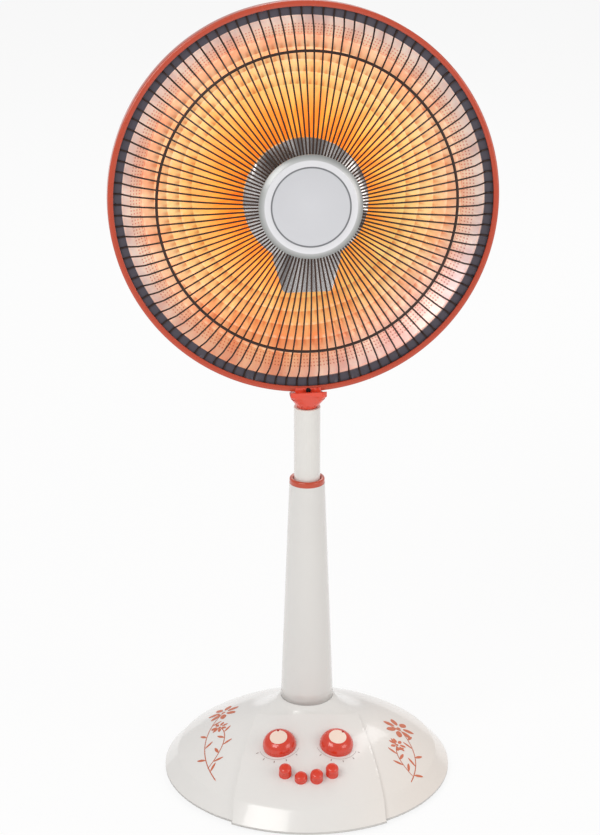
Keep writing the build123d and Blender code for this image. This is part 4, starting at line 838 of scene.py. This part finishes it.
@dataclass
class WireGuard:
    """Round wires from the hub to the rim, and the ring that ties them."""

    wire_count: int = 108
    wire_radius: float = 0.9
    sides: int = 6
    ring_radius: float = 154.5
    ring_forward: float = 30.9
    ring_wire: float = 1.5
    ring_flatness: float = 0.8
    line: tuple[tuple[float, float], ...] = (
        (31.0, 55.9), (52.5, 55.9), (66.0, 54.8), (85.0, 51.6), (105.0, 47.4), (130.0, 39.6),
        (154.5, 30.9), (168.0, 24.0), (178.0, 17.9), (184.0, 9.5), (188.6, 2.2), (190.4, 0.9),
        (198.2, 0.9),
    )

    def wire(self) -> bpy.types.Object:
        """Model one wire in the dish's own millimetres.

        Returns:
            The wire, along the plane of right and forward.
        """
        Bench.start()
        start = self.line[0]
        bpy.ops.mesh.primitive_circle_add(
            vertices=self.sides, radius=self.wire_radius, fill_type="NGON",
            location=(start[0], 0, start[1]), rotation=(0, math.radians(90), 0),
        )
        wire = bpy.context.object
        with Bench.editing(wire):
            Bench.extrude(self.line)
            bpy.ops.mesh.select_all(action="SELECT")
            bpy.ops.mesh.normals_make_consistent(inside=False)
        Bench.settle(wire, Matrix.Identity(4))
        return wire

    def ring(self) -> bpy.types.Object:
        """Model the tie ring, a wire pressed a little flat.

        Returns:
            The ring, in the dish's own millimetres.
        """
        Bench.start()
        bpy.ops.mesh.primitive_torus_add(
            major_radius=self.ring_radius, minor_radius=self.ring_wire,
            major_segments=160, minor_segments=8, location=(0, 0, self.ring_forward),
        )
        ring = bpy.context.object
        with Bench.editing(ring):
            bpy.ops.transform.resize(value=(1, 1, self.ring_flatness))
        Bench.settle(ring, Matrix.Identity(4))
        return ring

    def build(self) -> None:
        """Build the whole guard in place of its solid."""
        first = self.wire()
        wires = [first]
        for number in range(1, self.wire_count):
            turn = Matrix.Rotation(2 * math.pi * number / self.wire_count, 4, "Z")
            wires.append(Bench.copy(first, turn))
        wires.append(self.ring())
        guard = Bench.join(wires)
        Bench.settle(guard, HEAD.matrix())
        Bench.smooth(guard, 50.0)
        Bench.dress(guard, "guard_wire_cage", Body.HEAD, FINISHES["dark_wire"], "dark_wire")
        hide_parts("guard_wires")


@dataclass
class ReflectorDish:
    """The bright dish: a smooth bowl, rows of scallops and a smooth lip."""

    dish_radius: float = 187.0
    depth: float = 78.0
    lip_depth: float = 4.0
    flat_radius: float = 10.0
    row_inner: float = 113.0
    row_pitch: float = 13.5
    row_count: int = 4
    scallops: int = 108
    across: int = 4
    along: int = 5
    bowl_steps: int = 10
    lip_steps: int = 6
    swell: float = 0.9
    lip_step: float = 0.6
    flange_radius: float = 198.3
    flange_front: float = -3.05
    sheet: float = 0.9

    def forward(self, radius: float) -> float:
        """Return how far forward the plain dish lies at a radius."""
        share = min(radius / self.dish_radius, 1.0) ** 2
        return -self.depth + (self.depth - self.lip_depth) * share

    def stations(self) -> list[float]:
        """Return the radii of the rings of points, from the middle out."""
        reach = self.row_inner - self.flat_radius
        bowl = [
            self.flat_radius + reach * i / self.bowl_steps for i in range(self.bowl_steps + 1)
        ]
        rows = [
            self.row_inner + self.row_pitch * (i + 1) / self.along
            for i in range(self.row_count * self.along)
        ]
        outer = rows[-1]
        width = self.dish_radius - outer
        lip = [outer + width * i / self.lip_steps for i in range(1, self.lip_steps + 1)]
        return bowl + rows + lip

    def build(self) -> None:
        """Spin the dish's line, press the scallops and give the sheet its thickness."""
        radii = self.stations()
        line = [(radius, self.forward(radius)) for radius in radii]
        line.append((radii[-1] + self.lip_step, self.flange_front))
        line.append((self.flange_radius, self.flange_front))
        dish = Bench.spun(line, self.scallops * self.across)
        self.press(dish)
        with Bench.editing(dish, everything=False):
            bpy.ops.mesh.select_mode(type="EDGE")
            bpy.ops.mesh.select_non_manifold(extend=False)
        for edge in dish.data.edges:
            middle = sum((dish.data.vertices[i].co for i in edge.vertices), Vector()) / 2
            edge.select = edge.select and middle.xy.length < self.flat_radius + 1
        with Bench.editing(dish, everything=False):
            bpy.ops.mesh.edge_face_add()
            bpy.ops.mesh.select_mode(type="VERT")
            bpy.ops.mesh.select_all(action="SELECT")
            bpy.ops.mesh.normals_make_consistent(inside=False)
        Bench.sheet(dish, self.sheet)
        Bench.settle(dish, HEAD.matrix())
        Bench.smooth(dish, 16.0)
        slot = "reflector_aluminium"
        Bench.dress(dish, "reflector_dish", Body.HEAD, FINISHES[slot], slot)
        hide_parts("reflector")

    def press(self, dish: bpy.types.Object) -> None:
        """Press each cell of the rows into a shallow scallop."""
        outer = self.row_inner + self.row_pitch * self.row_count
        for point in dish.data.vertices:
            radius = math.hypot(point.co.x, point.co.y)
            if not self.row_inner - 0.01 < radius < outer + 0.01:
                continue
            turn = math.atan2(point.co.y, point.co.x) / (2 * math.pi) * self.scallops
            u = 2 * (turn - math.floor(turn + 1e-4)) - 1
            v = 2 * (((radius - self.row_inner) / self.row_pitch + 1e-4) % 1.0) - 1
            u, v = min(abs(u), 1.0), min(abs(v), 1.0)
            point.co.z -= self.swell * ((1 - u * u) * 0.6 + (1 - v * v)) - 0.5 * self.swell


@dataclass
class RimRing:
    """The orange ring round the dish, with a rounded front edge."""

    line: tuple[tuple[float, float], ...] = (
        (198.55, -14.0), (202.4, -14.0), (203.0, -13.4), (203.0, 2.2), (202.7, 3.2),
        (201.9, 3.9), (200.8, 4.0), (198.0, 4.0), (197.2, 3.7), (196.9, 3.0), (196.9, 1.95),
        (198.55, 1.95),
    )
    steps: int = 240

    def build(self) -> None:
        """Spin the ring in place of its solid."""
        ring = Bench.spun(self.line, self.steps, closed=True)
        Bench.settle(ring, HEAD.matrix())
        Bench.smooth(ring, 40.0)
        Bench.dress(ring, "rim_ring", Body.HEAD, FINISHES["orange_trim"], "orange_trim")
        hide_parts("rim_hoop")


@dataclass
class HubFace:
    """The turned disc in the middle of the guard."""

    line: tuple[tuple[float, float], ...] = (
        (0.0, 62.4), (16.0, 62.32), (30.0, 62.05), (38.0, 61.7), (39.3, 61.5), (39.8, 60.9),
        (40.8, 60.9), (41.3, 61.5), (42.0, 61.6), (47.0, 61.6), (47.9, 61.4), (52.4, 58.9),
        (53.2, 58.3), (53.3, 56.85), (46.0, 56.85),
    )
    steps: int = 128

    def build(self) -> None:
        """Spin the disc in place of its solid."""
        disc = Bench.spun(self.line, self.steps)
        Bench.settle(disc, HEAD.matrix())
        Bench.smooth(disc, 35.0)
        Bench.dress(disc, "hub_face", Body.HEAD, FINISHES["silver_hub"], "silver_hub")
        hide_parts("guard_hub")


@dataclass
class BaseShell:
    """The base's dome with its raised control panel and the cord's boss."""

    steps: int = 192
    wall: float = 2.2
    crease_step: float = 1.2
    dome_steps: int = 26
    seat_radius: float = 28.55
    seat_rise: float = 0.3
    rise: float = 3.0
    columns: int = 48
    rows: int = 84
    skirt: float = 3.7
    panel_round: float = 1.3
    boss_round: float = 1.2
    rear_half: float = 55.0
    rear_y: float = -8.0
    rear_mid_y: float = -38.0
    mid: tuple[float, float] = (70.5, -72.0)
    front: tuple[float, float] = (80.5, -125.0)
    nose_half: float = 82.2
    nose_y: float = -150.0
    boss_size: tuple[float, float, float] = (26.0, 17.0, 17.9)
    boss_place: tuple[float, float, float] = (0.0, 146.0, 15.0)

    def dome(self) -> bpy.types.Object:
        """Spin the plain dome and give it its wall."""
        foot = DOME.crease_radius + DOME.wall_run
        top = DOME.crease_radius - self.crease_step
        run = top - DOME.neck_radius
        radii = [foot, foot - 5.0, foot - 10.0, DOME.crease_radius + 1.0, DOME.crease_radius, top]
        radii += [top - run * i / self.dome_steps for i in range(1, self.dome_steps + 1)]
        line = [(radius, DOME.cover(radius, 0)) for radius in radii]
        line.append((self.seat_radius, DOME.seat_height + self.seat_rise))
        shell = Bench.spun(line, self.steps)
        Bench.sheet(shell, self.wall)
        return shell

    def half_width(self, y: float) -> float:
        """Return half the panel's width at a place from front to back."""
        if y < self.front[1]:
            share = (self.front[1] - y) / (self.front[1] - self.nose_y)
            return self.front[0] + (self.nose_half - self.front[0]) * min(share, 1.2)
        marks = ((self.rear_y, self.rear_half), self.mid[::-1], self.front[::-1])
        total = 0.0
        for here, value in marks:
            for other, _ in marks:
                if other != here:
                    value *= (y - other) / (here - other)
            total += value
        return total

    def panel(self) -> bpy.types.Object:
        """Lay a grid on the raised surface and drop its sides into the dome."""
        Bench.start()
        bpy.ops.mesh.primitive_grid_add(
            x_subdivisions=self.columns, y_subdivisions=self.rows, size=2.0, location=(0, 0, 0)
        )
        panel = bpy.context.object
        slope = (DOME.crease_height - DOME.foot_height) / DOME.wall_run
        reach = DOME.crease_radius + DOME.wall_run + self.rise * math.hypot(1, slope) / slope
        for point in panel.data.vertices:
            across, back = point.co.x, (1 + point.co.y) / 2
            start = self.rear_mid_y + (self.rear_y - self.rear_mid_y) * across * across
            side = across * self.nose_half
            end = -math.sqrt(reach * reach - side * side)
            y = end + (start - end) * back
            x = across * self.half_width(y) if back > 0 else side
            point.co = (x, y, max(DOME.cover(x, y, self.rise), DOME.foot_height))
        with Bench.editing(panel, everything=False):
            bpy.ops.mesh.select_mode(type="EDGE")
            bpy.ops.mesh.select_all(action="DESELECT")
            bpy.ops.mesh.select_non_manifold(extend=False)
        for edge in panel.data.edges:
            points = [panel.data.vertices[i].co for i in edge.vertices]
            low = all(point.z < DOME.foot_height + 0.05 for point in points)
            edge.select = edge.select and not low
        with Bench.editing(panel, everything=False):
            bpy.ops.mesh.extrude_region_move(TRANSFORM_OT_translate={"value": (0, 0, -self.skirt)})
            bpy.ops.mesh.select_mode(type="VERT")
            bpy.ops.mesh.select_all(action="SELECT")
            bpy.ops.mesh.normals_make_consistent(inside=False)
        for point in panel.data.vertices:
            point.co.z = max(point.co.z, DOME.foot_height)
        edge = panel.modifiers.new("edge", "BEVEL")
        edge.width, edge.segments, edge.limit_method = self.panel_round, 3, "ANGLE"
        edge.angle_limit = math.radians(50)
        Bench.only(panel)
        bpy.ops.object.modifier_apply(modifier="edge")
        return panel

    def boss(self) -> bpy.types.Object:
        """Model the block that the cord's gland sits in."""
        Bench.start()
        bpy.ops.mesh.primitive_cube_add(size=1.0, location=self.boss_place, scale=self.boss_size)
        boss = bpy.context.object
        Bench.settle(boss, Matrix.Identity(4))
        with Bench.editing(boss):
            bpy.ops.mesh.bevel(offset=self.boss_round, segments=3, affect="EDGES")
        return boss

    def build(self) -> None:
        """Join the shell's three forms in place of the solid."""
        shell = Bench.join([self.dome(), self.panel(), self.boss()])
        Bench.settle(shell, Matrix.Scale(MM, 4))
        Bench.smooth(shell, 32.0)
        Bench.dress(shell, "base_shell", Body.BASE, FINISHES["white_plastic"], "white_plastic")
        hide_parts("base_cover")


@dataclass
class DomePrint:
    """Flat printed shapes that lie on the base's dome."""

    lift: float = 0.12
    taper: float = 1.1

    def petal(self) -> bpy.types.Object:
        """Model one printed leaf, a pointed oval one unit long.

        Returns:
            The leaf, flat on the ground plane.
        """
        Bench.start()
        bpy.ops.mesh.primitive_circle_add(
            vertices=16, radius=0.5, fill_type="TRIFAN", location=(0, 0, 0)
        )
        leaf = bpy.context.object
        with Bench.editing(leaf):
            bpy.ops.mesh.subdivide(number_cuts=1)
        for point in leaf.data.vertices:
            point.co.y *= 1.0 - self.taper * point.co.x * point.co.x
        return leaf

    def print_shapes(
        self, shapes: Sequence[tuple[float, float, float, float, float]], rise: float
    ) -> bpy.types.Object:
        """Lay many ovals on the dome.

        Args:
            shapes: Middle x and y, length, width and turn in degrees of each oval.
            rise: How far the surface stands out of the dome.

        Returns:
            One object with all of them.
        """
        leaf = self.petal()
        ovals = []
        for x, y, length, width, turn in shapes:
            place = (
                Matrix.Translation((x, y, 0)) @ Matrix.Rotation(math.radians(turn), 4, "Z")
                @ Matrix.Diagonal((length, width, 1, 1))
            )
            ovals.append(Bench.copy(leaf, place))
        bpy.data.objects.remove(leaf)
        joined = Bench.join(ovals)
        for point in joined.data.vertices:
            point.co.z = DOME.height(point.co.x, point.co.y, rise) + self.lift
        Bench.settle(joined, Matrix.Scale(MM, 4))
        return joined


@dataclass
class SprigSpray(DomePrint):
    """Two printed sprigs of flowers and narrow leaves beside the controls."""

    stems: tuple[tuple[tuple[float, float], ...], ...] = (
        ((-100.0, -86.0), (-118.0, -48.0), (-116.0, -8.0), (-92.0, 34.0)),
        ((-108.0, -66.0), (-92.0, -50.0), (-84.0, -22.0), (-96.0, -2.0)),
        ((111.0, -84.0), (122.0, -56.0), (118.0, -30.0), (101.0, -4.0)),
        ((113.0, -76.0), (100.0, -66.0), (93.0, -52.0), (98.0, -38.0)),
    )
    leaf_step: int = 5
    leaf_offset: int = 3
    leaf_lean: float = 48.0
    leaf_reach: float = 6.0
    leaf_size: tuple[float, float] = (11.0, 3.0)
    dash_count: int = 30
    dash_overlap: float = 1.7
    stem_width: float = 1.1
    petal_count: int = 7
    petal_turn: float = 12.0
    flower_sizes: tuple[float, float] = (11.0, 6.0)

    @staticmethod
    def along(stem: Sequence[tuple[float, float]], share: float) -> Vector:
        """Return a point of a stem's smooth curve."""
        a, b, c, d = (Vector(p) for p in stem)
        rest = 1 - share
        middle = 3 * b * rest * rest * share + 3 * c * rest * share * share
        return a * rest ** 3 + middle + d * share ** 3

    def shapes(self) -> list[tuple[float, float, float, float, float]]:
        """Return the ovals of all sprigs."""
        ovals: list[tuple[float, float, float, float, float]] = []
        for number, stem in enumerate(self.stems):
            for step in range(self.dash_count):
                here = self.along(stem, step / self.dash_count)
                after = self.along(stem, (step + 1) / self.dash_count)
                run = after - here
                turn = math.degrees(math.atan2(run.y, run.x))
                middle = (here + after) / 2
                length = run.length * self.dash_overlap
                ovals.append((middle.x, middle.y, length, self.stem_width, turn))
                if step % self.leaf_step == self.leaf_offset:
                    side = 1 if (step // self.leaf_step) % 2 else -1
                    lean = turn + side * self.leaf_lean
                    bend = math.radians(lean)
                    reach = Vector((math.cos(bend), math.sin(bend))) * self.leaf_reach
                    ovals.append((middle.x + reach.x, middle.y + reach.y, *self.leaf_size, lean))
            tip = self.along(stem, 1.0)
            size = self.flower_sizes[number % 2]
            for petal in range(self.petal_count):
                angle = math.radians(petal * 360 / self.petal_count + self.petal_turn)
                ovals.append((
                    tip.x + size * math.cos(angle), tip.y + size * 1.1 * math.sin(angle),
                    size * 1.15, size * 0.62, math.degrees(angle),
                ))
            ovals.append((tip.x, tip.y, size * 0.42, size * 0.42, 0.0))
        return ovals

    def build(self) -> None:
        """Print the sprigs on the dome."""
        sprigs = self.print_shapes(self.shapes(), 0.0)
        Bench.dress(sprigs, "printed_sprigs", Body.BASE, PRINT_FINISH, "orange_trim")


@dataclass
class DialMarks(DomePrint):
    """Plain setting marks round the two knobs."""

    knob_x: float = 30.5
    knob_y: float = -66.0
    reach: float = 25.0
    flatness: float = 0.92
    angles: tuple[float, ...] = (196.0, 226.0, 256.0, 286.0, 316.0, 344.0)
    mark_length: float = 3.4
    mark_loss: float = 0.2
    mark_width: float = 1.1
    arc_inset: float = 3.2
    arc_dashes: int = 40
    arc_dash: tuple[float, float] = (1.6, 0.45)
    panel_rise: float = 3.0

    def at(self, side: int, reach: float, angle: float) -> tuple[float, float]:
        """Return a place round a knob.

        Args:
            side: Minus one for the left knob and one for the right.
            reach: Distance from the knob's middle.
            angle: Turn from the right, in degrees.

        Returns:
            The place to the right and to the back.
        """
        turn = math.radians(angle)
        return (
            side * self.knob_x + reach * math.cos(turn),
            self.knob_y + reach * self.flatness * math.sin(turn),
        )

    def build(self) -> None:
        """Print the marks on the raised panel."""
        ovals = []
        first, last = self.angles[0], self.angles[-1]
        for side in (-1, 1):
            for number, angle in enumerate(self.angles):
                length = self.mark_length - self.mark_loss * number
                ovals.append((*self.at(side, self.reach, angle), length, self.mark_width, angle))
            for step in range(self.arc_dashes):
                angle = first + (last - first) * step / (self.arc_dashes - 1)
                place = self.at(side, self.reach - self.arc_inset, angle)
                ovals.append((*place, *self.arc_dash, angle + 90))
        marks = self.print_shapes(ovals, self.panel_rise)
        Bench.dress(marks, "dial_marks", Body.BASE, MARK_FINISH, "knob_cap")


@dataclass
class Studio:
    """Plain pale floor, soft lights and the camera."""

    camera_place: tuple[float, float, float] = (-0.0518, -2.6995, 1.4726)
    pitch: float = 21.44
    turn: float = -0.94
    focal_pixels: float = 2756.8
    long_side: int = 835
    sensor: float = 36.0
    floor_size: float = 30.0
    floor_white: float = 0.86
    room_light: float = 0.55
    aim_height: float = 0.4

    def build(self) -> None:
        """Set the whole stage."""
        self.floor()
        self.lights()
        self.world()
        data = bpy.data.cameras.new("camera")
        data.sensor_width = self.sensor
        data.lens = self.sensor * self.focal_pixels / self.long_side
        data.clip_start, data.clip_end = 0.05, 60.0
        camera = bpy.data.objects.new("camera", data)
        bpy.context.scene.collection.objects.link(camera)
        camera.location = self.camera_place
        lean = math.radians(90 - self.pitch)
        camera.rotation_euler = Euler((lean, 0, math.radians(self.turn)))
        bpy.context.scene.camera = camera
        bpy.context.scene.view_settings.view_transform = "Standard"

    def floor(self) -> None:
        """Lay the pale floor."""
        Bench.start()
        bpy.ops.mesh.primitive_plane_add(size=self.floor_size, location=(0, 0, 0))
        floor = bpy.context.object
        floor.name = "floor"
        material = bpy.data.materials.new("floor_pale")
        desk = NodeDesk.clean(material)
        ray = desk.add("LightPath").outputs
        seen = desk.math("MAXIMUM", ray["Is Camera Ray"], ray["Is Glossy Ray"])
        seen = desk.math("MAXIMUM", seen, ray["Is Transmission Ray"])
        plain = desk.add("BsdfDiffuse", None, Color=(0.9, 0.9, 0.9, 1))
        white = desk.add("Emission", None, Color=(1, 1, 1, 1), Strength=1.0)
        mixed = desk.add("MixShader", None, i0=desk.mul(seen, self.floor_white))
        desk.tree.links.new(plain.outputs[0], mixed.inputs[1])
        desk.tree.links.new(white.outputs[0], mixed.inputs[2])
        output = desk.add("OutputMaterial")
        desk.tree.links.new(mixed.outputs[0], output.inputs["Surface"])
        floor.data.materials.append(material)

    def lights(self) -> None:
        """Hang the soft lights."""
        rows = (
            ("key", (-1.6, -1.9, 2.4), 1.6, 38.0, (1.0, 0.99, 0.97)),
            ("fill", (2.2, -1.5, 1.3), 1.4, 16.0, (1.0, 0.95, 0.90)),
            ("rear", (0.4, 2.0, 2.2), 1.8, 20.0, (1.0, 1.0, 1.0)),
        )
        for name, place, size, power, colour in rows:
            data = bpy.data.lights.new(name, "AREA")
            data.shape, data.size, data.energy, data.color = "SQUARE", size, power, colour
            lamp = bpy.data.objects.new(name, data)
            bpy.context.scene.collection.objects.link(lamp)
            lamp.location = place
            aim = Vector((0, 0, self.aim_height)) - Vector(place)
            lamp.rotation_euler = aim.to_track_quat("-Z", "Y").to_euler()

    def world(self) -> None:
        """Give the room its even light and the white seen behind."""
        world = bpy.data.worlds.new("room")
        desk = NodeDesk.clean(world)
        ray = desk.add("LightPath").outputs
        seen = desk.math("MAXIMUM", ray["Is Camera Ray"], ray["Is Transmission Ray"])
        level = desk.math("MULTIPLY_ADD", seen, 1 - self.room_light, self.room_light)
        back = desk.add("Background", None, Color=(1, 1, 1, 1), Strength=level)
        output = desk.add("OutputWorld")
        desk.tree.links.new(back.outputs[0], output.inputs["Surface"])
        bpy.context.scene.world = world


def main() -> None:
    """Dress the heater and set its stage."""
    logging.basicConfig(level=logging.INFO, format="%(message)s")
    parts = (
        SolidSkins(), BaseShell(), RimRing(), WireGuard(), HubFace(), ReflectorDish(),
        SprigSpray(), DialMarks(), Studio(),
    )
    for part in parts:
        part.build()
        LOG.info("%s built", type(part).__name__)
    bpy.context.view_layer.update()


if __name__ == "__main__":
    main()
